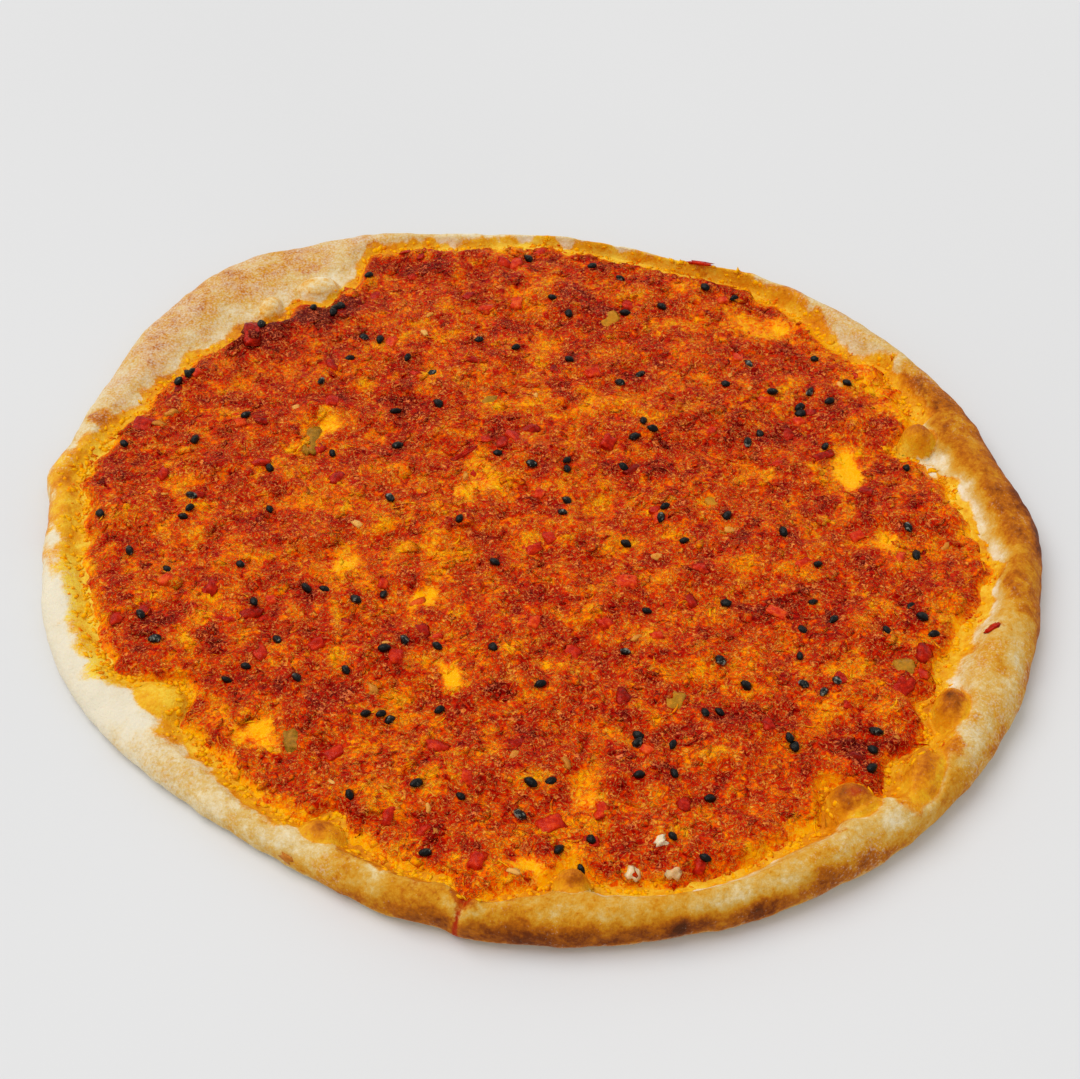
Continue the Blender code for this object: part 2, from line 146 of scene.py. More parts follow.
OIL_REACH = {  # how far oil has crept from the spread over the crust
    0: 1.5, 6: 3, 14: 1.5, 22: 7, 30: 5, 40: 3, 50: 6, 60: 4.5, 75: 2.6, 90: 2.2, 100: 3, 114: 3.5, 124: 2.5,
    140: 2.5, 152: 4, 162: 9, 170: 12, 180: 12, 186: 9, 200: 8, 212: 10, 222: 5, 236: 5, 248: 7, 258: 6,
    270: 4, 278: 3, 290: 2, 298: 2.5, 306: 6, 312: 10, 322: 12, 330: 5, 336: 6, 346: 3, 354: 2,
}

# Uneven patterns on the skin of the crust: length of a feature, how much it adds, layer of the noise.
SKIN_DENTS = ((11, 0.4, 2), (4.5, 0.32, 3), (1.8, 0.14, 4))
TOAST_PATCHES = ((8, 0.17, 5), (3, 0.12, 6))
FLOUR_PATCHES = ((7, 0.16, 7), (2.5, 0.12, 8))
OIL_FINGERS = ((5, 0.6, 9), (2, 0.3, 10))
PORE_APART = 5.5 * MM
PORE_SHARE = 0.13
PORE_DEPTH = 0.35 * MM
UNDERSIDE_FLOUR = 0.5

SAUCE_SPOTS = (  # where the spread's red juice has run over the crust: place, length, width, turn, how much
    (-12, -97, 15, 5.5, 62, 1.0), (-15.4, -103.5, 9, 1.8, 63, 1.0), (39, 92, 13, 3.4, -36, 0.9),
    (63.5, -76, 6, 5, 0, 0.55), (-57, 90, 12, 5, 35, 0.35), (88, -51, 4, 3, 80, 0.4),
    (-70, 71, 9, 4, 40, 0.35), (98.5, -31, 5, 3, -50, 0.35),
)

# The spread. Its thin places let the oiled bread show through.
SPREAD_GAP = 0.3 * MM
SPREAD_EDGE_GAP = 0.1 * MM
SPREAD_THICKNESS = 1.7 * MM
SPREAD_THINNEST = 0.8 * MM
CLUMP_LENGTH = 15 * MM
CLUMP_HEIGHT = 1.5 * MM
LUMP_LENGTH = 5.5 * MM
LUMP_HEIGHT = 1.0 * MM
SPREAD_ROUNDING = 4 * MM
THIN_FADE = 1.5
THIN_PLACES = (  # place, length, width, turn
    (72, 19, 16, 9, 95), (78, -2, 10, 5, 80), (-50, 33, 15, 8, 20), (-24, -20, 11, 7, 0),
    (-20, -41, 16, 7, -35), (-1, -88, 15, 7, -5), (-58, -58, 14, 8, -10), (-42, -8, 16, 8, 10),
    (2, 61, 16, 9, 0), (14, 6, 12, 7, 40), (26, -25, 15, 9, -70), (9, -71, 14, 8, 60), (57, 68, 22, 9, -40),
)
EDGE_WOBBLE = 1.7 * MM
EDGE_WOBBLE_LENGTH = 6 * MM
EDGE_BEAKS = (  # direction, reach either way, length
    (-6.5, 3.4, 2.4), (9.5, 2.5, 1.6), (-47.5, 2.0, 2.2), (262.5, 2.5, 2.5), (198, 9, 1.6),
)
EDGE_SLOPE = 4.0 * MM
EDGE_BURIED = 0.35 * MM
SPREAD_FOOT_DEPTH = 1.2 * MM
GRAIN_LENGTH = 2.6 * MM
GRAIN_HEIGHT = 0.6 * MM
CRUMB_LENGTH = 1.5 * MM
CRUMB_HEIGHT = 0.3 * MM
GRAIN_WARP = 0.9 * MM
GRAIN_WARP_LENGTH = 2.5 * MM
GRAIN_MIDDLE = 0.6
GRAIN_WHERE_THIN = 0.15

# Tone of the spread: 0 is clear yellow oil, 0.5 is orange, 1 is the darkest red.
TONE_MEAN = 0.57
TONE_OF_CLUMPS = 0.14
TONE_OF_LUMPS = 0.24
TONE_SMEAR = 2.2 * MM
TONE_AT_EDGE = 0.42
TONE_EDGE_REACH = 4.5 * MM
RED_PATCHES = (  # place, length, width, turn, how much redder at its middle
    (-52, 74, 36, 17, 28, 0.62), (-67, 64, 28, 15, 42, 0.5), (-92, 34, 16, 10, 80, 0.2),
    (-97, 14, 30, 11, 88, 0.2), (-94, -12, 28, 13, 84, 0.14), (-85, -26, 20, 16, -60, 0.22),
    (-30, 92, 30, 14, 0, 0.1), (-10, 90, 26, 8, 0, 0.18), (5, 93, 18, 12, 0, 0.14), (10, 77, 30, 14, 0, 0.12),
    (-33, 42, 32, 14, 86, 0.14), (-60, 17, 14, 8, 60, 0.14), (20, 50, 22, 16, 0, 0.1),
    (32, 30, 34, 22, 0, 0.14), (22, 18, 18, 10, 0, 0.14), (50, 28, 26, 20, 0, 0.12), (50, 8, 18, 20, 0, 0.1),
    (-2, -25, 32, 12, 86, 0.14), (52, -25, 28, 16, 0, 0.2), (63, -18, 18, 18, 0, 0.1),
    (35, -52, 32, 16, 0, 0.18), (66, -60, 30, 14, -35, 0.24), (71, -71, 14, 10, -60, 0.22),
    (88, -14, 18, 14, 0, 0.14), (-36, -50, 26, 12, 0, 0.14), (-60, -44, 26, 12, -10, 0.14),
    (0, -62, 16, 10, 80, 0.16), (18, -92, 20, 7, 0, 0.18), (-47, -78, 10, 5, 0, 0.3),
    (88, 11, 14, 10, 70, 0.16), (82, -28, 14, 12, 0, 0.12), (68, 37, 12, 10, 0, 0.12),
)
YELLOW_PATCHES = (  # the same, and how much yellower
    (72, 19, 20, 9, 92, 0.65), (70, 17, 30, 19, 90, 0.2), (77, -3, 14, 7, 85, 0.6), (-49, 34, 15, 9, 80, 0.6),
    (-50, 28, 20, 12, 0, 0.16), (-24.5, -20, 13, 9, 0, 0.75), (-21, -12, 18, 14, 80, 0.22),
    (-18, -42, 17, 8, -50, 0.7), (-44, -10, 20, 14, 80, 0.28), (24, -28, 23, 9, 85, 0.34),
    (28, -15, 15, 9, 0, 0.18), (-57, -58, 18, 9, -10, 0.55), (-80, -46, 20, 11, -35, 0.45),
    (-63, -66, 32, 7, -42, 0.24), (-38, -84, 38, 9, -28, 0.3), (-1, -90, 17, 8, 0, 0.6),
    (10, -72, 17, 9, 85, 0.34), (0, 60, 25, 10, 85, 0.22), (12, 40, 28, 13, 0, 0.24),
    (-8, 46, 30, 20, 0, 0.12), (-14, 13, 17, 12, 60, 0.28), (14, 6, 17, 9, 80, 0.26),
    (57, 68, 28, 11, -25, 0.44), (44, 76, 18, 10, -40, 0.18), (68, 59, 18, 8, -50, 0.34),
    (80, 47, 24, 10, -65, 0.4), (70, 50, 22, 14, -50, 0.12), (-68, 25, 22, 13, 85, 0.14),
    (-72, -22, 20, 9, 85, 0.26), (-70, 50, 26, 16, 30, 0.1), (-80, 12, 22, 10, 88, 0.12),
    (-48, 10, 26, 14, 88, 0.14), (-60, -6, 26, 16, 0, 0.12), (-26, 74, 22, 8, 0, 0.1),
    (34, 84, 22, 8, -20, 0.22), (-9, 97, 10, 7, 0, 0.36), (60, -50, 18, 12, 80, 0.14),
    (-20, -62, 22, 12, 0, 0.1), (-30, -71, 28, 14, -20, 0.14), (61, -70, 10, 8, 0, 0.2),
)

# What lies in the spread.
PLACING_SEED = 20
SEED_SIZE = (2.8, 1.85, 1.5)
SEED_SIZE_RANGE = (0.85, 1.12)
SEED_EDGE_GAP = 4.5 * MM
SEED_SINK = 0.3
SEED_SHOW = 0.1
SEED_SPOTS = (  # along the dish from the back to the front
    (-2, 94), (14, 90), (-42, 87), (21, 86), (42, 82), (-51, 80), (4, 78), (49, 78), (-50, 76), (31, 75),
    (-55, 75), (-50, 73), (22, 73), (8, 72), (-69, 69), (-42, 64), (-14, 63), (-38, 63), (-5, 60),
    (-31, 56), (67, 56), (8, 55), (-86, 53), (25, 51), (-84, 50), (-86, 48), (20, 48), (-51, 47), (45, 47),
    (74, 47), (56, 44), (65, 44), (-23, 40), (69, 40), (62, 39), (-33, 38), (62, 37), (-68, 36), (25, 33),
    (27, 31), (52, 30), (23, 29), (-79, 28), (49, 27), (-96, 27), (-32, 26), (67, 26), (-47, 24), (-9, 24),
    (7, 21), (-1, 20), (-61, 19), (85, 19), (7, 18), (-78, 10), (-33, 9), (7, 8), (-60, 6), (-78, 6),
    (29, 6), (-99, 4), (6, 4), (43, 4), (28, 3), (-79, 3), (-17, 2), (83, 0), (55, -2), (20, -4), (33, -4),
    (-90, -6), (84, -8), (-65, -11), (-9, -11), (62, -11), (-50, -18), (-33, -19), (-39, -21), (-61, -22),
    (60, -22), (41, -23), (24, -24), (-85, -26), (64, -27), (83, -27), (57, -30), (75, -30), (85, -31),
    (-28, -33), (-55, -33), (-81, -33), (-21, -34), (-9, -35), (-32, -36), (19, -36), (56, -37), (39, -38),
    (-61, -40), (-40, -41), (-65, -43), (63, -44), (-50, -44), (56, -45), (1, -45), (44, -45), (60, -47),
    (-20, -51), (38, -52), (-35, -53), (-32, -53), (35, -53), (70, -57), (21, -58), (52, -59), (21, -60),
    (28, -61), (53, -61), (69, -62), (71, -64), (28, -68), (21, -69), (69, -68), (-24, -71), (-1, -71),
    (35, -74), (-15, -74), (-38, -75), (-3, -78), (11, -84), (27, -84), (-22, -88), (34, -91), (5, -91),
)
HIDDEN_SEED_SPOTS = (
    (-45, 56), (49, 57), (51, 54), (-25, 51), (-81, -12), (-46, -18), (81, -23), (-30, -54), (3, -70),
    (9, -90), (20, 20),
)
HIDDEN_SEED_SINK = 0.62
LARGE_PIECES = (  # kind, place, size, turn: the pieces that stand out from the minced ones
    ("red", (-92, 34), (5.5, 5.0, 1.8), 20), ("red", (20, -16), (5.0, 4.5, 1.4), 35),
    ("red", (3, -80), (6.0, 4.5, 1.4), -60), ("red", (52, -25), (5.5, 3.5, 1.4), 10),
    ("red", (77, -45), (5.5, 4.5, 1.6), 70), ("red", (66, 23), (6.5, 2.2, 1.2), 85),
    ("red", (-17, 24), (9.0, 1.4, 1.4), 55), ("red", (-41, -62), (5.0, 3.5, 1.4), 15),
    ("red", (-69, 64), (8.0, 4.5, 1.1), 30), ("green", (-52, 29), (10.0, 3.6, 1.5), -25),
    ("green", (-50, -59), (6.0, 4.0, 1.0), 0), ("green", (-11, 42), (4.5, 3.6, 1.2), 10),
    ("green", (29, -49), (5.5, 4.5, 1.2), 30), ("green", (40, 9), (6.0, 4.5, 1.4), 10),
    ("green", (18, 71), (6.5, 4.5, 1.2), 0), ("green", (78, -40), (5.0, 5.5, 1.6), 20),
    ("crumb", (25, -85), (2.6, 1.8, 1.4), 60), ("crumb", (19, -92), (3.2, 2.4, 1.6), 10),
    ("crumb", (27, -92), (3.0, 2.2, 1.4), 0),
)
SMALL_DICE_COUNT = 26
DICE_SIZE = (3.6, 2.8, 1.5)
DICE_SIZE_RANGE = (0.8, 1.25)
DICE_APART = 11 * MM
DICE_EDGE_GAP = 5 * MM
PIECE_SINK = 0.6
LARGE_PIECE_SINKS = {"red": 0.72, "green": 0.88, "crumb": 0.4}
CUT_TAPER = 0.8
RIM_SCRAPS = (  # place, size, turn, how much of it is sunk in
    ((40.5, 90.6), (7.0, 1.8, 1.0), -25, 0.45), ((96.8, -31), (4.5, 2.6, 1.2), -50, 0.66),
    ((-48.8, -87.4), (3.2, 1.9, 0.9), -30, 0.75),
)
BIT_EDGE_GAP = 1.2 * MM
SHRED_THICKNESS = 0.13

# Bits of the spread that lie on the oily crust beside it.
EDGE_BIT_COUNT = 1300
EDGE_BIT_REACH = 5 * MM
EDGE_BIT_SIZE = (1.7, 1.2, 0.7)
EDGE_BIT_SIZE_RANGE = (0.5, 1.2)
EDGE_BIT_SINK = 0.62
EDGE_BIT_TONES = (-0.3, 0.24)

# Colours from the palest to the darkest share of each material, and the tints of their gloss.
PASTE_COLOURS = (
    (0.0, "ffb000"), (0.14, "ff9a00"), (0.3, "f87600"), (0.44, "ea5400"), (0.56, "d43000"), (0.7, "b81400"),
    (0.84, "960400"), (1.0, "600000"),
)
# Pale strand tints, partly the fibres' own colour and partly painted highlight where the wet fibres glint.
STRAND_AND_HIGHLIGHT_COLOURS = ((0.0, "ffe440"), (0.25, "ffc02c"), (0.5, "ffa038"), (0.75, "ff8a42"), (1.0, "f87448"))
FLOUR_COLOUR = "eadfc6"
JUICE_COLOUR = "b42c06"
DOUGH_COLOURS = (
    (0.0, "f4e8cc"), (0.16, "ead2a0"), (0.3, "ddb566"), (0.42, "daa038"), (0.52, "d48c18"), (0.66, "bc660a"),
    (0.84, "80390c"), (1.0, "54240c"),
)
OILED_DOUGH_COLOURS = ((0.0, "f8d244"), (0.22, "f0b01c"), (0.45, "e28a0a"), (0.7, "b65c08"), (1.0, "6b3006"))
PASTE_GLINT = "ff7c45"
DOUGH_GLINT = "ffda95"
WARM_GLINT = "ff7c50"
PALE_GLINT = "fff3e7"
DIM_GLINT = "959590"
SKIN_COLOURS = ((0.0, "e85a14"), (0.3, "d22c08"), (0.6, "b01404"), (1.0, "740600"))
GREEN_COLOURS = ((0.0, "d88c1c"), (0.5, "b07a1c"), (1.0, "7a5a14"))
NUT_COLOURS = ((0.0, "f0b860"), (0.5, "dc8f30"), (1.0, "a85a18"))
CRUMB_COLOURS = ((0.0, "f7ead2"), (0.5, "eed2a4"), (1.0, "d9a868"))
# The two palest seed colours are painted highlights: grey specks that stand in for glints on the black coat.
SEED_COLOURS_AND_GLINTS = ((0.0, "808274"), (0.1, "3a3c36"), (0.22, "0e0e0e"), (1.0, "040404"))

# Finishes of the separate bits. Red pepper skin is glossy, roasted green pepper duller, nut crumbs are matt,
# crumbs of bread soak up oil, and the coat of a nigella seed is black, wrinkled and slightly shiny, with pale
# specks painted on it as highlights.
BIT_FINISHES = {  # colours, mottling, glint, roughness, coat, relief's length and depth, light let through
    "red": ("red_pepper_skin", SKIN_COLOURS, 1.5, WARM_GLINT, 0.24, 0.05, 0.9, 0.4, 0.15),
    "green": ("roasted_green_pepper", GREEN_COLOURS, 1.4, WARM_GLINT, 0.3, 0.0, 1.6, 0.15, 0.3),
    "nut": ("walnut_and_pepper_seed", NUT_COLOURS, 0.9, WARM_GLINT, 0.4, 0.1, 0.7, 0.15, 0.2),
    "crumb": ("oil_soaked_crumb", CRUMB_COLOURS, 0.9, PALE_GLINT, 0.35, 0.2, 0.7, 0.2, 0.3),
    "seed": ("nigella_seed_coat", SEED_COLOURS_AND_GLINTS, 1.8, DIM_GLINT, 0.24, 0.06, 0.55, 0.4, 0.0),
}

# Lengths of the patterns in the materials, in millimetres.
PASTE_CLOUDS = 5.5
PASTE_PULP = 1.5
PASTE_STRANDS = 1.1
BIT_MOTTLES = 1.1
DOUGH_BLOTCHES = 5
DOUGH_SPECKLES = 1.3
FLOUR_SPECKS = 0.55

# What is kept at each corner of the crust, for its material.
CRUST_FINISHES = ("toast", "flour_and_lit_side", "oil", "juice")

# How finely the two skins are divided.
RIM_SEGMENTS = 1000
SLOPE_STEPS = 28
SHOULDER_STEPS = 24
FOOT_STEPS = 10
SPREAD_CELLS = 296
SKY = 50 * MM

# The table, the light and the camera.
CAMERA_PLACE = (0.00091, -0.33167, 0.35836)
CAMERA_ELEVATION = math.radians(47)
CAMERA_LENS = 72.2
SENSOR_WIDTH = 36
FLOOR_SIZE = 3.0
ROOM_LIGHT = 0.62
WINDOW_LIGHT = 1.52
WINDOW_WIDTH = math.radians(50)
WINDOW_DIRECTION = (-0.5, 0.25, 1.0)


def smooth(low, high, value):
    """0 at low, 1 at high, with an even start and end."""
    share = min(1.0, max(0.0, (value - low) / (high - low)))
    return share * share * (3 - 2 * share)


def bump(distance):
    """1 at 0, falling evenly to 0 at 1 and beyond."""
    return max(0.0, 1.0 - distance * distance) ** 2


def mix(first, second, share):
    return first + (second - first) * share


def turn_between(first, second):
    """Angle between two directions, from -pi to pi."""
    return (first - second + math.pi) % math.tau - math.pi


def wave(place, length, layer=0):
    """Even noise from -1 to 1 with features of about the length, a separate pattern on each layer."""
    return noise.noise(place / length + Vector((0, 0, 17.3 * layer)))


def waves(place, patterns):
    """Several waves in one: each has a length in millimetres, a share and a layer."""
    return sum(share * wave(place, length * MM, layer) for length, share, layer in patterns)


def eased(table, turn):
    """A value from a table by direction, eased from each entry to the next."""
    turn = math.degrees(turn) % 360
    ways = [*table, 360]
    last = max(index for index, way in enumerate(ways) if way <= turn)
    start, end = ways[last], ways[last + 1]
    return mix(table[start], table[end % 360], smooth(start, end, turn))


def patch_distance(x, y, place):
    """0 at the middle of an oval patch, 1 on its border."""
    centre_x, centre_y, length, width, turn = place
    local = Matrix.Rotation(-math.radians(turn), 2) @ Vector((x / MM - centre_x, y / MM - centre_y))
    return 2 * math.hypot(local.x / length, local.y / width)


def bump_at(turn, direction, reach):
    """A bump by direction: both its middle and its reach either way are in degrees."""
    return bump(turn_between(turn, math.radians(direction)) / math.radians(reach))


@functools.lru_cache(maxsize=None)
def edge_radius(turn):
    """Outer edge of the crust."""
    lobes = sum(size * math.cos(count * (turn - math.radians(way))) for count, size, way in OUTLINE_LOBES)
    pulls = sum(size * bump_at(turn, way, reach) for way, reach, size in OUTLINE_PULLS)
    past_fold = turn_between(turn, FOLD_DIRECTION)
    step = smooth(-FOLD_BLUR, FOLD_BLUR, past_fold) * math.exp(-max(0.0, past_fold) / FOLD_FADE)
    return MEAN_RADIUS + (lobes + pulls) * MM + FOLD_STEP * step


@functools.lru_cache(maxsize=None)
def spread_radius(turn):
    """Where the floor of the dish ends and the rim begins to rise: it bends inwards round each blister."""
    radius = edge_radius(turn) - eased(RIM_WIDTHS, turn) * MM
    radius += TONGUE_LENGTH * bump(turn_between(turn, TONGUE_DIRECTION) / TONGUE_REACH)
    dent = 0.0
    for x, y, length, width, *_ in BLISTERS:
        half = (length + width) / 4 * MM + BLISTER_MARGIN
        centre = math.hypot(x, y) * MM
        away = turn_between(turn, math.atan2(y, x)) * centre / (DENT_SPREAD * half)
        dent = max(dent, (radius - centre + half) * bump(away))
    return radius - dent


@functools.lru_cache(maxsize=None)
def rim_height(turn):
    """Height of the rim's crest: swollen at the front right, low at the back left, sagging at front left."""
    along = Vector((math.cos(turn), math.sin(turn), 0)) * MEAN_RADIUS / RIM_SWELL_LENGTH
    swing = RIM_HEIGHT_SWING * math.cos(turn - RIM_HIGH_SIDE)
    sag = RIM_SAG * bump(turn_between(turn, RIM_SAG_DIRECTION) / RIM_SAG_REACH)
    return RIM_HEIGHT + swing - sag + RIM_UNEVENNESS * noise.noise(along)


@functools.lru_cache(maxsize=None)
def spread_edge(turn):
    """Edge of the spread, with the small lobes in which it ran out over the foot of the rim."""
    along = Vector((math.cos(turn), math.sin(turn), 0)) * MEAN_RADIUS
    wobble = wave(along, EDGE_WOBBLE_LENGTH) + 0.5 * wave(along, EDGE_WOBBLE_LENGTH / 3, 1)
    beaks = sum(length * MM * bump_at(turn, direction, reach) for direction, reach, length in EDGE_BEAKS)
    return spread_radius(turn) - SPREAD_EDGE_GAP + EDGE_WOBBLE * wobble + beaks


def rim_point(turn, station):
    """A point of the rim. Station 0 to 1 climbs from the dish to the crest, 1 to 2 rounds the shoulder out to
    the edge, and 2 to 3 rounds under to the table."""
    edge = edge_radius(turn)
    width = edge - spread_radius(turn)
    height = rim_height(turn)
    belly = BELLY_SHARE * height
    crest_inset = min(CREST_INSET, 0.5 * width)
    sweep = (station % 1 or 1.0) * math.pi / 2
    if station <= 1:
        inset = width + (crest_inset - width) * station
        z = FLOOR_HEIGHT + (height - FLOOR_HEIGHT) * smooth(0, 1, station)
    elif station <= 2:
        inset = crest_inset * (1 - math.sin(sweep))
        z = belly + (height - belly) * math.cos(sweep)
    else:
        inset = FOOT_INSET * (1 - math.cos(sweep))
        z = belly * (1 - math.sin(sweep))
    radius = edge - inset
    return Vector((radius * math.cos(turn), radius * math.sin(turn), z))


def blister_skin(x, y, skin):
    """Height of the skin with the blisters in it, the share of it that is a blister's, and how toasted and
    how oily the blister is there."""
    height, cover, toast, oil = skin, 0.0, 0.0, 0.0
    for centre_x, centre_y, length, width, turn, top, brown, stain, soft in BLISTERS:
        distance = patch_distance(x, y, (centre_x, centre_y, length, width, turn))
        height -= BLISTER_CREASE * (1 - soft) * bump((distance - 1.0) / BLISTER_CREASE_WIDTH)
        share = 1 - smooth(0.85, 1.25, distance)
        if share > cover:
            cover, oil = share, stain
            toast = mix(BLISTER_FOOT_TOAST, brown, bump(BLISTER_BROWNING * distance))
            toast += BLISTER_MOTTLING * brown * wave(Vector((x, y, 0)), BLISTER_MOTTLE_LENGTH, 18)
        if distance < 1:
            dome = FLOOR_HEIGHT + (top * MM - FLOOR_HEIGHT) * math.sqrt(1 - distance**2)
            height = raised(height, dome, mix(BLISTER_BLEND, SOFT_BLISTER_BLEND, soft))
    return height, cover, toast, oil


def raised(low, high, blend):
    """The higher of two heights, blended where they are close."""
    share = max(0.0, blend - abs(low - high)) / blend
    return max(low, high) + share * share * blend / 4


def fold_relief(x, y):
    """How far the skin dips or rises beside the fold in the rim."""
    line = FOLD_HEAD - FOLD_FOOT
    offset = Vector((x, y)) - FOLD_FOOT
    along = offset.dot(line) / line.length_squared
    beside = (line.x * offset.y - line.y * offset.x) / line.length
    fade = smooth(-0.3, 0.0, along) * (1 - smooth(0.9, 1.3, along))
    groove = FOLD_DEPTH * math.exp(-((beside / FOLD_WIDTH) ** 2))
    lip = FOLD_LIP * math.exp(-(((beside + 2.4 * FOLD_WIDTH) / (1.5 * FOLD_WIDTH)) ** 2))
    return fade * (lip - groove)


def skin_relief(place, station):
    """The crust's dents, wrinkles and pores, fading out towards the table and the dish."""
    nearest = noise.voronoi(place / PORE_APART)[0][0]
    relief = waves(place, SKIN_DENTS) * MM - PORE_DEPTH * bump(nearest / PORE_SHARE)
    return relief * smooth(0.0, 0.35, station) * (1 - smooth(2.3, 3.0, station))


def crust_finish(turn, station, place):
    """How toasted, how floury and how oily the crust is at a place, and how much red juice is on it."""
    toast = mix(eased(LIP_TOAST, turn), eased(CREST_TOAST, turn), smooth(0.2, 0.9, station))
    toast = mix(toast, eased(OUTER_TOAST, turn), smooth(1.35, 1.85, station))
    toast *= 1 - 0.5 * smooth(2.0, 2.6, station)
    toast += waves(place, TOAST_PATCHES)
    flour_and_lit_side = eased(FLOUR_AND_LIT_SIDE, turn) + waves(place, FLOUR_PATCHES)
    flour_and_lit_side = mix(flour_and_lit_side, UNDERSIDE_FLOUR, smooth(2.0, 2.5, station))
    past_edge = math.hypot(place.x, place.y) - spread_edge(turn)
    reach = eased(OIL_REACH, turn) * MM * (1 + waves(place, OIL_FINGERS))
    oil = 1 - smooth(0.1 * reach, reach, past_edge)
    juice = max(share * bump(0.9 * patch_distance(place.x, place.y, spot)) for *spot, share in SAUCE_SPOTS)
    return toast, flour_and_lit_side, oil, juice


def sRGB(code):
    """A colour written as six hex digits, as linear red, green, blue and alpha."""
    parts = (int(code[start : start + 2], 16) / 255 for start in (0, 2, 4))
    return (*(part / 12.92 if part <= 0.04045 else ((part + 0.055) / 1.055) ** 2.4 for part in parts), 1.0)


def add(tree, kind, inputs=(), stops=(), **settings):
    """Adds a shader node. Each input is a plain value, or an output that is linked to it."""
    made = tree.nodes.new("ShaderNode" + kind)
    for name, value in settings.items():
        setattr(made, name, value)
    for name, value in dict(inputs).items():
        if isinstance(value, bpy.types.NodeSocket):
            tree.links.new(value, made.inputs[name])
        else:
            made.inputs[name].default_value = value
    for number, (position, code) in enumerate(stops):
        ramp = made.color_ramp.elements
        stop = ramp[number] if number < len(ramp) else ramp.new(1.0)
        stop.position = position
        stop.color = sRGB(code)
    return made


def new_material(name, **settings):
    """A material, its node tree and its surface shader with plain values set on it."""
    material = bpy.data.materials.new(name)
    material.use_nodes = True
    shader = material.node_tree.nodes["Principled BSDF"]
    for key, value in settings.items():
        shader.inputs[key.replace("_", " ")].default_value = value
    return material, material.node_tree, shader


def per_mm(length):
    """Noise scale whose features are about so many millimetres long."""
    return 1 / (length * MM)


def paste_material():
    """Puree of roasted red pepper, walnut and oil, baked on. It is wet, so every fibre glints, and the pale
    strands in its colour are partly fibres and partly painted highlight; it is deep red where it is thick,
    orange where it is thin, and clear amber where the oil pools."""
    material, tree, shader = new_material(
        "roasted_pepper_paste", IOR=1.46, Specular_IOR_Level=0.12, Specular_Tint=sRGB(PASTE_GLINT),
        Subsurface_Weight=0.1, Subsurface_Radius=(1.0, 0.35, 0.1), Subsurface_Scale=1.0 * MM,
    )
    at = add(tree, "TexCoord").outputs["Object"]
    tone = add(tree, "Attribute", attribute_name="tone").outputs["Fac"]
    cloud = add(
        tree, "TexNoise",
        {"Vector": at, "Scale": per_mm(PASTE_CLOUDS), "Detail": 3, "Roughness": 0.6, "Distortion": 0.5},
    )
    pulp = add(
        tree, "TexNoise",
        {"Vector": at, "Scale": per_mm(PASTE_PULP), "Detail": 3, "Roughness": 0.65, "Distortion": 1.0},
    )
    # The finest strands are under 0.1 mm, too fine to show, so they are drawn a third of a millimetre wide.
    # Their pale colour is partly painted highlight, standing in for glints on the wet fibres.
    curl = add(
        tree, "TexNoise",
        {"Vector": at, "Scale": per_mm(PASTE_STRANDS), "Detail": 0, "Roughness": 0.5, "Distortion": 1.4},
    )
    level = tone
    for pattern, share in ((cloud, 1.2), (pulp, 1.2), (curl, 0.3)):
        level = add(
            tree, "Math", {0: pattern.outputs["Fac"], 1: share, 2: level}, operation="MULTIPLY_ADD"
        ).outputs[0]
    level = add(tree, "Math", {0: level, 1: 1.35}, operation="SUBTRACT").outputs[0]
    colour = add(tree, "ValToRGB", {"Fac": level}, stops=PASTE_COLOURS)
    strand_highlight_colour = add(tree, "ValToRGB", {"Fac": level}, stops=STRAND_AND_HIGHLIGHT_COLOURS)
    # Painted highlight: along each strand the colour is lightened to the pale strand tints, which stand
    # partly for the fibres and partly for their glints; the same strands also raise the bump.
    aside = add(tree, "Math", {0: curl.outputs["Fac"], 1: 0.5}, operation="SUBTRACT")
    aside = add(tree, "Math", {0: aside.outputs[0]}, operation="ABSOLUTE")
    strand_glint_strength = add(
        tree, "MapRange", {"Value": level, "From Min": 0.05, "From Max": 0.4, "To Min": 0.35, "To Max": 1.0}
    )
    strand_and_glint_mask = add(
        tree, "MapRange",
        {"Value": aside.outputs[0], "From Max": 0.09, "To Min": strand_glint_strength.outputs["Result"], "To Max": 0.0},
    )
    colour_with_painted_glints = add(
        tree, "Mix", {0: strand_and_glint_mask.outputs["Result"], 6: colour.outputs["Color"], 7: strand_highlight_colour.outputs["Color"]},
        data_type="RGBA",
    )
    depth = add(
        tree, "MapRange", {"Value": tone, "From Min": 0.05, "From Max": 0.4, "To Min": 0.25, "To Max": 1.0}
    )
    wet = add(
        tree, "MapRange",
        {"Value": pulp.outputs["Fac"], "From Min": 0.3, "From Max": 0.7, "To Min": 0.2, "To Max": 0.36},
    )
    height = add(
        tree, "Math", {0: pulp.outputs["Fac"], 1: 1.2, 2: strand_and_glint_mask.outputs["Result"]}, operation="MULTIPLY_ADD"
    )
    relief = add(
        tree, "Bump", {"Height": height.outputs[0], "Distance": 0.3 * MM, "Strength": depth.outputs["Result"]}
    )
    tree.links.new(colour_with_painted_glints.outputs[2], shader.inputs["Base Color"])
    tree.links.new(wet.outputs["Result"], shader.inputs["Roughness"])
    tree.links.new(relief.outputs["Normal"], shader.inputs["Normal"])
    return material


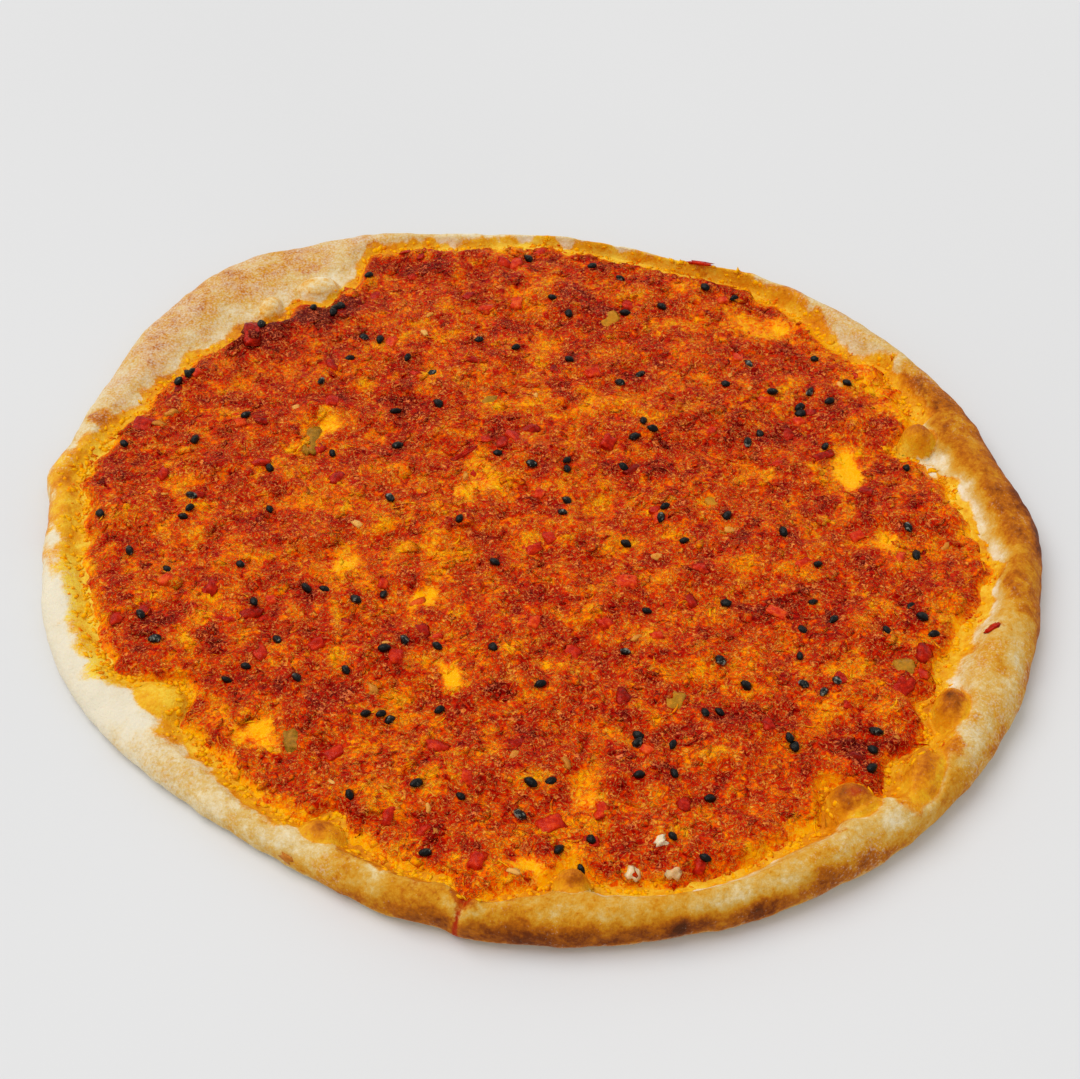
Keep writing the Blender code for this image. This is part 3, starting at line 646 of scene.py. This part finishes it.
def bit_material(name, stops, mottling, glint, roughness, coat, relief_length, relief_depth, soft):
    """What the separate bits share: a colour by each bit's tone with a fine mottling, and a low relief."""
    material, tree, shader = new_material(
        name, IOR=1.45, Roughness=roughness, Specular_IOR_Level=0.45, Specular_Tint=sRGB(glint),
        Coat_Weight=coat, Coat_Roughness=0.1, Subsurface_Weight=soft, Subsurface_Radius=(1.0, 0.5, 0.2),
        Subsurface_Scale=1.0 * MM,
    )
    at = add(tree, "TexCoord").outputs["Object"]
    tone = add(tree, "Attribute", attribute_name="tone").outputs["Fac"]
    mottle = add(
        tree, "TexNoise", {"Vector": at, "Scale": per_mm(BIT_MOTTLES), "Detail": 3, "Roughness": 0.6}
    )
    level = add(tree, "Math", {0: mottle.outputs["Fac"], 1: mottling, 2: tone}, operation="MULTIPLY_ADD")
    centred = add(tree, "Math", {0: level.outputs[0], 1: mottling / 2}, operation="SUBTRACT")
    # For the seeds, the palest end of the ramp is painted highlight: pale specks where the mottling is low.
    colour = add(tree, "ValToRGB", {"Fac": centred.outputs[0]}, stops=stops)
    skin = add(
        tree, "TexNoise", {"Vector": at, "Scale": per_mm(relief_length), "Detail": 2, "Roughness": 0.5}
    )
    relief = add(
        tree, "Bump", {"Height": skin.outputs["Fac"], "Distance": relief_depth * MM, "Strength": 0.7}
    )
    tree.links.new(colour.outputs["Color"], shader.inputs["Base Color"])
    tree.links.new(relief.outputs["Normal"], shader.inputs["Normal"])
    return material


def dough_material():
    """Wheat dough baked on a hot stone: a dry, finely pitted skin from cream over gold to brown, dusted with
    flour that missed the oil, and stained clear yellow and slightly shiny where oil crept into it."""
    material, tree, shader = new_material(
        "baked_wheat_dough", IOR=1.45, Specular_IOR_Level=0.25, Specular_Tint=sRGB(DOUGH_GLINT),
        Subsurface_Weight=0.05, Subsurface_Radius=(1.0, 0.6, 0.3), Subsurface_Scale=1.5 * MM,
    )
    at = add(tree, "TexCoord").outputs["Object"]
    toast, flour_and_lit_side, oil, juice = (
        add(tree, "Attribute", attribute_name=name).outputs["Fac"] for name in CRUST_FINISHES
    )
    blotch = add(
        tree, "TexNoise", {"Vector": at, "Scale": per_mm(DOUGH_BLOTCHES), "Detail": 3, "Roughness": 0.6}
    )
    speckle = add(
        tree, "TexNoise", {"Vector": at, "Scale": per_mm(DOUGH_SPECKLES), "Detail": 4, "Roughness": 0.75}
    )
    # Flour grains are under 0.1 mm, too fine to show, so the dusting is drawn in specks of half a millimetre.
    dust = add(tree, "TexNoise", {"Vector": at, "Scale": per_mm(FLOUR_SPECKS), "Detail": 2, "Roughness": 0.6})
    level = toast
    for pattern, share in ((blotch, 0.42), (speckle, 0.62)):
        level = add(
            tree, "Math", {0: pattern.outputs["Fac"], 1: share, 2: level}, operation="MULTIPLY_ADD"
        ).outputs[0]
    level = add(tree, "Math", {0: level, 1: 0.52}, operation="SUBTRACT").outputs[0]
    baked = add(tree, "ValToRGB", {"Fac": level}, stops=DOUGH_COLOURS)
    soaked = add(tree, "Math", {0: level, 1: 1.3, 2: 0.04}, operation="MULTIPLY_ADD")
    oiled = add(tree, "ValToRGB", {"Fac": soaked.outputs[0]}, stops=OILED_DOUGH_COLOURS)
    seeping = oil
    for pattern, share in ((blotch, 0.5), (speckle, 0.6)):
        seeping = add(
            tree, "Math", {0: pattern.outputs["Fac"], 1: share, 2: seeping}, operation="MULTIPLY_ADD"
        ).outputs[0]
    stain = add(tree, "MapRange", {"Value": seeping, "From Min": 0.78, "From Max": 1.08})
    stained = add(
        tree, "Mix", {0: stain.outputs["Result"], 6: baked.outputs["Color"], 7: oiled.outputs["Color"]},
        data_type="RGBA",
    )
    running = add(tree, "Math", {0: speckle.outputs["Fac"], 1: 1.2, 2: juice}, operation="MULTIPLY_ADD")
    reddened = add(tree, "MapRange", {"Value": running.outputs[0], "From Min": 0.75, "From Max": 1.3})
    juicy = add(
        tree, "Mix", {0: reddened.outputs["Result"], 6: stained.outputs[2], 7: sRGB(JUICE_COLOUR)},
        data_type="RGBA",
    )
    # Where the flour share is highest, on the left side, the near-white dusting is partly painted light.
    patchy = add(tree, "Math", {0: dust.outputs["Fac"], 1: 1.4, 2: flour_and_lit_side}, operation="MULTIPLY_ADD")
    covered = add(
        tree, "MapRange", {"Value": patchy.outputs[0], "From Min": 0.92, "From Max": 1.6, "To Max": 0.85}
    )
    dusted_and_lit_colour = add(
        tree, "Mix", {0: covered.outputs["Result"], 6: juicy.outputs[2], 7: sRGB(FLOUR_COLOUR)},
        data_type="RGBA",
    )
    rough = add(tree, "MapRange", {"Value": stain.outputs["Result"], "To Min": 0.68, "To Max": 0.4})
    height = add(
        tree, "Math", {0: dust.outputs["Fac"], 1: 0.5, 2: speckle.outputs["Fac"]}, operation="MULTIPLY_ADD"
    )
    relief = add(tree, "Bump", {"Height": height.outputs[0], "Distance": 0.4 * MM, "Strength": 0.8})
    tree.links.new(dusted_and_lit_colour.outputs[2], shader.inputs["Base Color"])
    tree.links.new(rough.outputs["Result"], shader.inputs["Roughness"])
    tree.links.new(relief.outputs["Normal"], shader.inputs["Normal"])
    return material


def finished(name, bm, material, slot, node):
    """Makes a finished bmesh a piece."""
    mesh = bpy.data.meshes.new(name)
    bm.to_mesh(mesh)
    bm.free()
    return placed(name, mesh, material, node)


def placed(name, mesh, material, node):
    """Puts a finished mesh in the scene as a piece that rides on the body and stands for a CAD node."""
    mesh.shade_smooth()
    mesh.materials.append(material)
    piece = bpy.data.objects.new(name, mesh)
    bpy.context.scene.collection.objects.link(piece)
    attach(piece, "root")
    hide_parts(node)
    return piece


def drawn_ring(bm, edges):
    """Draws a ring of faces out of an open edge, and gives its new corners and its new open edge."""
    drawn = bmesh.ops.extrude_edge_only(bm, edges=edges)["geom"]
    corners = [item for item in drawn if isinstance(item, bmesh.types.BMVert)]
    return corners, [item for item in drawn if isinstance(item, bmesh.types.BMEdge) and item.is_boundary]


def crust_skin():
    """The crust: one ring is drawn out from the floor of the dish, over the rim and under to the table."""
    stations = [step / SLOPE_STEPS for step in range(1, SLOPE_STEPS + 1)]
    stations += [1 + step / SHOULDER_STEPS for step in range(1, SHOULDER_STEPS + 1)]
    stations += [2 + step / FOOT_STEPS for step in range(1, FOOT_STEPS + 1)]
    bm = bmesh.new()
    way = bm.verts.layers.float.new("way")
    station_layer = bm.verts.layers.float.new("station")
    finishes = [bm.verts.layers.float.new(name) for name in CRUST_FINISHES]
    circle = bmesh.ops.create_circle(bm, segments=RIM_SEGMENTS, radius=MEAN_RADIUS)["verts"]
    for number, vert in enumerate(circle):
        vert[way] = math.tau * number / RIM_SEGMENTS
    edges = list(bm.edges)
    bmesh.ops.edgeloop_fill(bm, edges=edges)
    for station in stations:
        corners, edges = drawn_ring(bm, edges)
        for vert in corners:
            vert[station_layer] = station
    bmesh.ops.edgeloop_fill(bm, edges=edges)
    blistered = {}
    for vert in bm.verts:
        vert.co = rim_point(vert[way], vert[station_layer])
        if 0 < vert[station_layer] < 2:
            vert.co.z, *blistered[vert] = blister_skin(vert.co.x, vert.co.y, vert.co.z)
            vert.co.z += fold_relief(vert.co.x, vert.co.y)
    bmesh.ops.recalc_face_normals(bm, faces=bm.faces)
    bm.normal_update()
    for vert in bm.verts:
        toast, flour_and_lit_side, oil, juice = crust_finish(vert[way], vert[station_layer], vert.co)
        cover, brown, stain = blistered.get(vert, (0.0, 0.0, 0.0))
        oil = mix(oil, stain, cover)
        values = mix(toast, brown, cover), flour_and_lit_side * (1 - cover) * (1 - oil), oil, juice
        for layer, value in zip(finishes, values):
            vert[layer] = value
    reliefs = [skin_relief(vert.co, vert[station_layer]) for vert in bm.verts]
    for vert, relief in zip(bm.verts, reliefs):
        vert.co += vert.normal * relief
    bm.verts.layers.float.remove(bm.verts.layers.float["way"])
    bm.verts.layers.float.remove(bm.verts.layers.float["station"])
    return bm


def spread_thickness(x, y):
    """Thickness of the spread at a place in the dish, without its grain."""
    clumps = CLUMP_HEIGHT * noise.noise(Vector((x, y, 0)) / CLUMP_LENGTH)
    lumps = LUMP_HEIGHT * noise.noise(Vector((x, y, SKY)) / LUMP_LENGTH)
    thickness = max(SPREAD_THINNEST, SPREAD_THICKNESS + clumps + lumps)
    thickness += thinning(x, y) * (SPREAD_THINNEST - thickness)
    to_edge = spread_radius(math.atan2(y, x)) - math.hypot(x, y)
    return SPREAD_THINNEST + (thickness - SPREAD_THINNEST) * smooth(0, SPREAD_ROUNDING, to_edge)


def thinning(x, y):
    """1 in the middle of a thin place, 0 outside them all."""
    return max(bump(THIN_FADE / 2 * patch_distance(x, y, place)) for place in THIN_PLACES)


def spread_tone(x, y):
    """Tone of the spread at a place: redder where it is thick, yellow where it is thin and along its edge."""
    place = Vector((x, y, 0))
    to_edge = spread_edge(math.atan2(y, x)) - math.hypot(x, y)
    x += TONE_SMEAR * (wave(place, LUMP_LENGTH, 13) + 0.5 * wave(place, LUMP_LENGTH / 3, 14))
    y += TONE_SMEAR * (wave(place, LUMP_LENGTH, 15) + 0.5 * wave(place, LUMP_LENGTH / 3, 16))
    tone = TONE_MEAN + TONE_OF_CLUMPS * wave(place, CLUMP_LENGTH * 0.8, 11)
    tone += TONE_OF_LUMPS * wave(place, LUMP_LENGTH, 12)
    for *spot, change in RED_PATCHES:
        tone += change * bump(patch_distance(x, y, spot))
    for *spot, change in YELLOW_PATCHES:
        tone -= change * bump(patch_distance(x, y, spot))
    edge_reach = TONE_EDGE_REACH * (1 + 0.9 * wave(place, CLUMP_LENGTH * 0.6, 17))
    edge_share = 1 - smooth(0, edge_reach, to_edge)
    return tone - TONE_AT_EDGE * edge_share


def grain_relief(place):
    """The mince in the spread: rounded grains side by side, with finer crumbs on them."""
    warp = Vector((wave(place, GRAIN_WARP_LENGTH, 20), wave(place, GRAIN_WARP_LENGTH, 21), 0)) * GRAIN_WARP
    grains = 1 - noise.voronoi((place + warp) / GRAIN_LENGTH)[0][0] ** 2
    crumbs = 1 - noise.voronoi((place - warp) / CRUMB_LENGTH)[0][0] ** 2
    return GRAIN_HEIGHT * (grains - GRAIN_MIDDLE) + CRUMB_HEIGHT * (crumbs - GRAIN_MIDDLE)


def met(surface, spot):
    """Where a surface is met straight down from above a spot, and its normal there, or None and None."""
    return surface.ray_cast(Vector((*spot, SKY)), -UP)[:2]


def spread_skin(ground):
    """The spread: a square grid pulled round to its wavy outline and laid on the crust, with a flat foot."""
    bm = bmesh.new()
    tone = bm.verts.layers.float.new("tone")
    bmesh.ops.create_grid(bm, x_segments=SPREAD_CELLS, y_segments=SPREAD_CELLS, size=1)
    for vert in bm.verts:
        across, along = vert.co.x, vert.co.y
        disc = Vector((across * math.sqrt(1 - along * along / 2), along * math.sqrt(1 - across * across / 2)))
        edge = spread_edge(math.atan2(disc.y, disc.x))
        flat = disc * edge
        to_edge = edge - flat.length
        rise = smooth(0, EDGE_SLOPE, to_edge)
        body = (SPREAD_GAP + spread_thickness(*flat)) * rise
        grains = grain_relief(Vector((*flat, 0))) * rise * mix(1, GRAIN_WHERE_THIN, thinning(*flat))
        buried = EDGE_BURIED * (1 - smooth(0, EDGE_SLOPE / 2, to_edge))
        vert.co = (flat.x, flat.y, met(ground, flat)[0].z + body + grains - buried)
        vert[tone] = spread_tone(*flat)
    corners, edges = drawn_ring(bm, [edge for edge in bm.edges if edge.is_boundary])
    for vert in corners:
        vert.co.z = FLOOR_HEIGHT - SPREAD_FOOT_DEPTH
    bmesh.ops.edgeloop_fill(bm, edges=edges)
    bmesh.ops.recalc_face_normals(bm, faces=bm.faces)
    return bm


def roughened(bm, amount, layer):
    """Moves each corner of a unit-sized shape a little, so that no two shapes are alike."""
    for vert in bm.verts:
        vert.co *= 1 + amount * noise.noise(vert.co * 2.6 + Vector((0, 0, 9.7 * layer)))


def as_triangles(bm):
    """The corners and triangles of a finished small shape."""
    bmesh.ops.triangulate(bm, faces=bm.faces)
    bmesh.ops.recalc_face_normals(bm, faces=bm.faces)
    bm.verts.index_update()
    corners = np.array([vert.co for vert in bm.verts])
    triangles = np.array([[vert.index for vert in face.verts] for face in bm.faces])
    bm.free()
    return corners, triangles


def lump_shapes(count, subdivisions, amount):
    """Rounded irregular bits of unit size."""
    shapes = []
    for layer in range(count):
        bm = bmesh.new()
        bmesh.ops.create_icosphere(bm, subdivisions=subdivisions, radius=0.5)
        roughened(bm, amount, layer)
        shapes.append(as_triangles(bm))
    return shapes


def seed_shapes(count):
    """Nigella seeds of unit size: an egg with three blunt ridges along it, pinched at one end."""
    shapes = []
    for layer in range(count):
        bm = bmesh.new()
        bmesh.ops.create_icosphere(bm, subdivisions=2, radius=0.5)
        for vert in bm.verts:
            x, y, z = vert.co
            ridge = 1 + 0.13 * math.cos(3 * math.atan2(z, y))
            pinch = 1 - 0.3 * smooth(0.0, 0.5, x)
            vert.co = (x, y * ridge * pinch, z * ridge * pinch)
        roughened(bm, 0.22, layer)
        shapes.append(as_triangles(bm))
    return shapes


def cut_shapes(count):
    """Diced pepper of unit size: a block with a smaller top, softened by the oven."""
    shapes = []
    for layer in range(count):
        bm = bmesh.new()
        bmesh.ops.create_cube(bm, size=1)
        for vert in bm.verts:
            if vert.co.z > 0:
                vert.co.xy *= CUT_TAPER
        bmesh.ops.bevel(
            bm, geom=bm.edges, offset=0.16, segments=2, profile=0.5, affect="EDGES", material=-1,
            clamp_overlap=True,
        )
        long_edges = [edge for edge in bm.edges if edge.calc_length() > 0.4]
        bmesh.ops.subdivide_edges(bm, edges=long_edges, cuts=2, use_grid_fill=True)
        roughened(bm, 0.4, layer)
        shapes.append(as_triangles(bm))
    return shapes


def shred_shapes(count):
    """Shreds of pepper of unit length: a thin tube bent in an arc, tapered at both ends."""
    shapes = []
    for layer in range(count):
        bm = bmesh.new()
        arc = math.radians(20 + 25 * layer)
        radius = 1 / arc
        ring = bmesh.ops.create_circle(
            bm, segments=4, radius=SHRED_THICKNESS / 2, matrix=Matrix.Rotation(math.pi / 2, 4, "X")
        )
        bmesh.ops.translate(bm, vec=(radius, 0, 0), verts=ring["verts"])
        bmesh.ops.spin(
            bm, geom=bm.edges[:] + bm.verts[:], cent=(0, 0, 0), axis=UP, angle=arc, steps=5, use_merge=False
        )
        bmesh.ops.holes_fill(bm, edges=[edge for edge in bm.edges if edge.is_boundary])
        for vert in bm.verts:
            swept = math.atan2(vert.co.y, vert.co.x)
            taper = mix(0.35, 1.0, bump(2 * abs(swept) / arc - 1))
            middle = Vector((radius * math.cos(swept), radius * math.sin(swept), 0))
            vert.co = middle + (vert.co - middle) * taper - Vector((radius, 0, 0))
        shapes.append(as_triangles(bm))
    return shapes


def copies(name, shapes, places, tones, material, slot, node):
    """One piece of many copies of a few small shapes, each copy with its own place and tone."""
    corners, triangles, shades = [], [], []
    for number, (place, tone) in enumerate(zip(places, tones)):
        shape, sides = shapes[number % len(shapes)]
        turned = np.array(place)
        triangles.append(sides)
        corners.append(shape @ turned[:3, :3].T + turned[:3, 3])
        shades.append(np.full(len(shape), tone))
    starts = np.cumsum([0] + [len(part) for part in corners[:-1]])
    faces = np.concatenate([sides + start for sides, start in zip(triangles, starts)])
    mesh = bpy.data.meshes.new(name)
    mesh.from_pydata(np.concatenate(corners), [], faces)
    tone_layer = mesh.attributes.new("tone", "FLOAT", "POINT")
    tone_layer.data.foreach_set("value", np.concatenate(shades).astype(np.float32))
    return placed(name, mesh, material, node)


def lying(surface, spot, size, turn, sink, upright=0.0):
    """Where a unit-sized bit goes so that it lies on a surface, with a share of its thickness sunk in."""
    hit, normal = met(surface, spot)
    normal = normal.lerp(UP, upright).normalized()
    facing = normal.to_track_quat("Z", "Y").to_matrix().to_4x4()
    centre = hit + normal * size[2] * (0.5 - sink)
    return Matrix.Translation(centre) @ facing @ Matrix.Rotation(turn, 4, "Z") @ Matrix.Diagonal((*size, 1))


def drawn_in(spot, margin):
    """The spot itself, or one nearer the middle where it would come too close to the spread's edge."""
    reach = spread_radius(math.atan2(spot.y, spot.x)) - margin
    return spot * min(1.0, reach / spot.length)


def scattered(draw, count, apart, margin, taken):
    """Places spread evenly over the dish, each at least apart from the others and from those taken."""
    places = []
    while len(places) < count:
        turn = draw.uniform(0, math.tau)
        reach = math.sqrt(draw.random()) * (spread_radius(turn) - margin)
        place = Vector((reach * math.cos(turn), reach * math.sin(turn)))
        if all((place - other).length > apart for other in places + taken):
            places.append(place)
    return places


def strewn(draw, count, margin, thinned):
    """Places anywhere in the dish, fewer of them where the spread is thin."""
    places = []
    while len(places) < count:
        turn = draw.uniform(0, math.tau)
        reach = math.sqrt(draw.random()) * (spread_edge(turn) - margin)
        place = Vector((reach * math.cos(turn), reach * math.sin(turn)))
        if draw.random() > thinned * thinning(*place):
            places.append(place)
    return places


def laid_pieces(surface, materials):
    """The diced pepper, crumbs and seeds that the solids have too, drawn by lot in the same order."""
    draw = random.Random(PLACING_SEED)
    laid = {"red": [], "green": [], "crumb": [], "seed": []}
    taken = []
    for kind, spot, size, turn in LARGE_PIECES:
        spot = Vector(spot) * MM
        taken.append(spot)
        size = Vector(size) * MM
        laid[kind].append(lying(surface, spot, size, math.radians(turn), LARGE_PIECE_SINKS[kind], 0.7))
    for spot in scattered(draw, SMALL_DICE_COUNT, DICE_APART, DICE_EDGE_GAP, taken):
        size = Vector(DICE_SIZE) * MM * draw.uniform(*DICE_SIZE_RANGE)
        laid["red"].append(lying(surface, spot, size, draw.uniform(0, math.tau), PIECE_SINK, 0.5))
    for spot in SEED_SPOTS:
        size = Vector(SEED_SIZE) * MM * draw.uniform(*SEED_SIZE_RANGE)
        spot = drawn_in(Vector(spot) * MM, SEED_EDGE_GAP)
        laid["seed"].append(lying(surface, spot, size, draw.uniform(0, math.tau), SEED_SINK - SEED_SHOW, 0.5))
    for spot in HIDDEN_SEED_SPOTS:
        size = Vector(SEED_SIZE) * MM
        spot = Vector(spot) * MM
        laid["seed"].append(lying(surface, spot, size, draw.uniform(0, math.tau), HIDDEN_SEED_SINK, 0.5))
    pieces = {
        "red": ("diced_red_pepper", cut_shapes(5)), "green": ("diced_green_pepper", cut_shapes(4)),
        "crumb": ("pale_crumbs", lump_shapes(3, 2, 1.5)), "seed": ("nigella_seeds", seed_shapes(4)),
    }
    for kind, places in laid.items():
        name, shapes = pieces[kind]
        tones = [draw.uniform(0.2, 0.8) for _ in places]
        copies(name, shapes, places, tones, materials[kind], "pepper_paste", "pepper_spread")


def strewn_bits(surface, materials):
    """The fine bits that only show from close by."""
    # name, count, shapes, size, size range, share sunk in, material, tone added to the spread's own, how far
    # the tones differ, share left out where the spread is thin
    mince, pulp, rounded, shreds = (
        lump_shapes(6, 1, 1.5), lump_shapes(5, 2, 1.1), lump_shapes(5, 2, 0.9), shred_shapes(4),
    )
    kinds = (
        ("pepper_mince", 2800, mince, (2.2, 1.5, 0.7), (0.6, 1.3), 0.68, "paste", 0.0, 0.14, 0.9),
        ("pulp_bits", 150, pulp, (4.4, 3.0, 1.1), (0.6, 1.3), 0.68, "paste", -0.04, 0.14, 0.7),
        ("pepper_skins", 70, rounded, (4.4, 2.8, 0.9), (0.6, 1.2), 0.62, "red", 0.0, 0.3, 0.9),
        ("nut_crumbs", 26, rounded, (2.6, 1.5, 0.9), (0.7, 1.2), 0.6, "nut", -0.1, 0.3, 0.3),
        ("pepper_shreds", 900, shreds, (3.0, 3.0, 1.8), (0.6, 1.4), 0.5, "paste", -0.1, 0.2, 0.8),
    )
    for number, kind in enumerate(kinds):
        name, count, shapes, size, size_range, sink, material, shift, spread, thinned = kind
        draw = random.Random(PLACING_SEED + 1 + number)
        places, tones = [], []
        for spot in strewn(draw, count, BIT_EDGE_GAP, thinned):
            bit = Vector(size) * MM * draw.uniform(*size_range)
            places.append(lying(surface, spot, bit, draw.uniform(0, math.tau), sink, 0.3))
            tones.append(spread_tone(*spot) + shift + draw.uniform(-spread, spread))
        copies(name, shapes, places, tones, materials[material], "pepper_paste", "pepper_spread")


def edge_bits(ground, materials):
    """Bits of the spread on the oily crust beside it, which make its edge ragged."""
    draw = random.Random(PLACING_SEED)
    places, tones = [], []
    while len(places) < EDGE_BIT_COUNT:
        turn = draw.uniform(0, math.tau)
        reach = eased(OIL_REACH, turn) / max(OIL_REACH.values())
        past_edge = draw.uniform(-1, 1)
        radius = spread_edge(turn) + past_edge * abs(past_edge) * EDGE_BIT_REACH * reach
        size = Vector(EDGE_BIT_SIZE) * MM * draw.uniform(*EDGE_BIT_SIZE_RANGE)
        spot = Vector((radius * math.cos(turn), radius * math.sin(turn)))
        # A ray that meets the skin exactly on an edge can pass between its faces.
        if draw.random() <= reach and met(ground, spot)[0]:
            places.append(lying(ground, spot, size, draw.uniform(0, math.tau), EDGE_BIT_SINK))
            tones.append(draw.uniform(*EDGE_BIT_TONES))
    shapes = lump_shapes(6, 1, 1.3)
    copies("edge_bits", shapes, places, tones, materials["paste"], "pepper_paste", "pepper_spread")


def make_bread():
    """The crust, what is baked on to it, the spread in its dish and all that lies in the spread."""
    materials = {kind: bit_material(*finish) for kind, finish in BIT_FINISHES.items()}
    materials["paste"] = paste_material()
    crust = crust_skin()
    ground = BVHTree.FromBMesh(crust)
    *scraps, flake = (
        lying(ground, Vector(spot) * MM, Vector(size) * MM, math.radians(turn), sink)
        for spot, size, turn, sink in RIM_SCRAPS
    )
    on_crust = "baked_dough", "flatbread"
    shapes = lump_shapes(3, 2, 1.2)
    copies("baked_on_scraps", shapes, scraps, (0.5, 0.6), materials["red"], *on_crust)
    copies("toasted_flake", shapes, [flake], [0.8], materials["nut"], *on_crust)
    finished("baked_crust", crust, dough_material(), *on_crust)
    spread = spread_skin(ground)
    surface = BVHTree.FromBMesh(spread)
    finished("pepper_paste_bed", spread, materials["paste"], "pepper_paste", "pepper_spread")
    laid_pieces(surface, materials)
    strewn_bits(surface, materials)
    edge_bits(ground, materials)


def make_floor():
    """A white laminate table: matt, and even enough to be taken for paper."""
    material, tree, shader = new_material("white_laminate_table", Roughness=0.6, Specular_IOR_Level=0.2)
    at = add(tree, "TexCoord").outputs["Object"]
    veil = add(tree, "TexNoise", {"Vector": at, "Scale": 4, "Detail": 1})
    colour = add(tree, "ValToRGB", {"Fac": veil.outputs["Fac"]}, stops=((0.3, "dedede"), (0.7, "e2e2e2")))
    tree.links.new(colour.outputs["Color"], shader.inputs["Base Color"])
    bm = bmesh.new()
    bmesh.ops.create_grid(bm, x_segments=1, y_segments=1, size=FLOOR_SIZE / 2)
    mesh = bpy.data.meshes.new("table_top")
    bm.to_mesh(mesh)
    bm.free()
    mesh.materials.append(material)
    floor = bpy.data.objects.new("table_top", mesh)
    bpy.context.scene.collection.objects.link(floor)


def make_light():
    """A bright white room, and one soft window high up beyond the left end of the bread."""
    world = bpy.data.worlds.new("bright_room")
    world.use_nodes = True
    background = world.node_tree.nodes["Background"]
    background.inputs["Color"].default_value = sRGB("ffffff")
    background.inputs["Strength"].default_value = ROOM_LIGHT
    bpy.context.scene.world = world
    lamp = bpy.data.lights.new("soft_window", "SUN")
    lamp.energy = WINDOW_LIGHT
    lamp.angle = WINDOW_WIDTH
    window = bpy.data.objects.new("soft_window", lamp)
    window.rotation_euler = Vector(WINDOW_DIRECTION).to_track_quat("Z", "Y").to_euler()
    bpy.context.scene.collection.objects.link(window)


def make_camera():
    """Where the picture was taken from, high in front of the bread."""
    lens = bpy.data.cameras.new("camera")
    lens.lens = CAMERA_LENS
    lens.sensor_width = SENSOR_WIDTH
    lens.clip_start = 0.01
    camera = bpy.data.objects.new("camera", lens)
    camera.location = CAMERA_PLACE
    camera.rotation_euler = (math.pi / 2 - CAMERA_ELEVATION, 0, 0)
    bpy.context.scene.collection.objects.link(camera)
    bpy.context.scene.camera = camera


bpy.context.scene.view_settings.view_transform = "Standard"
make_bread()
make_floor()
make_light()
make_camera()
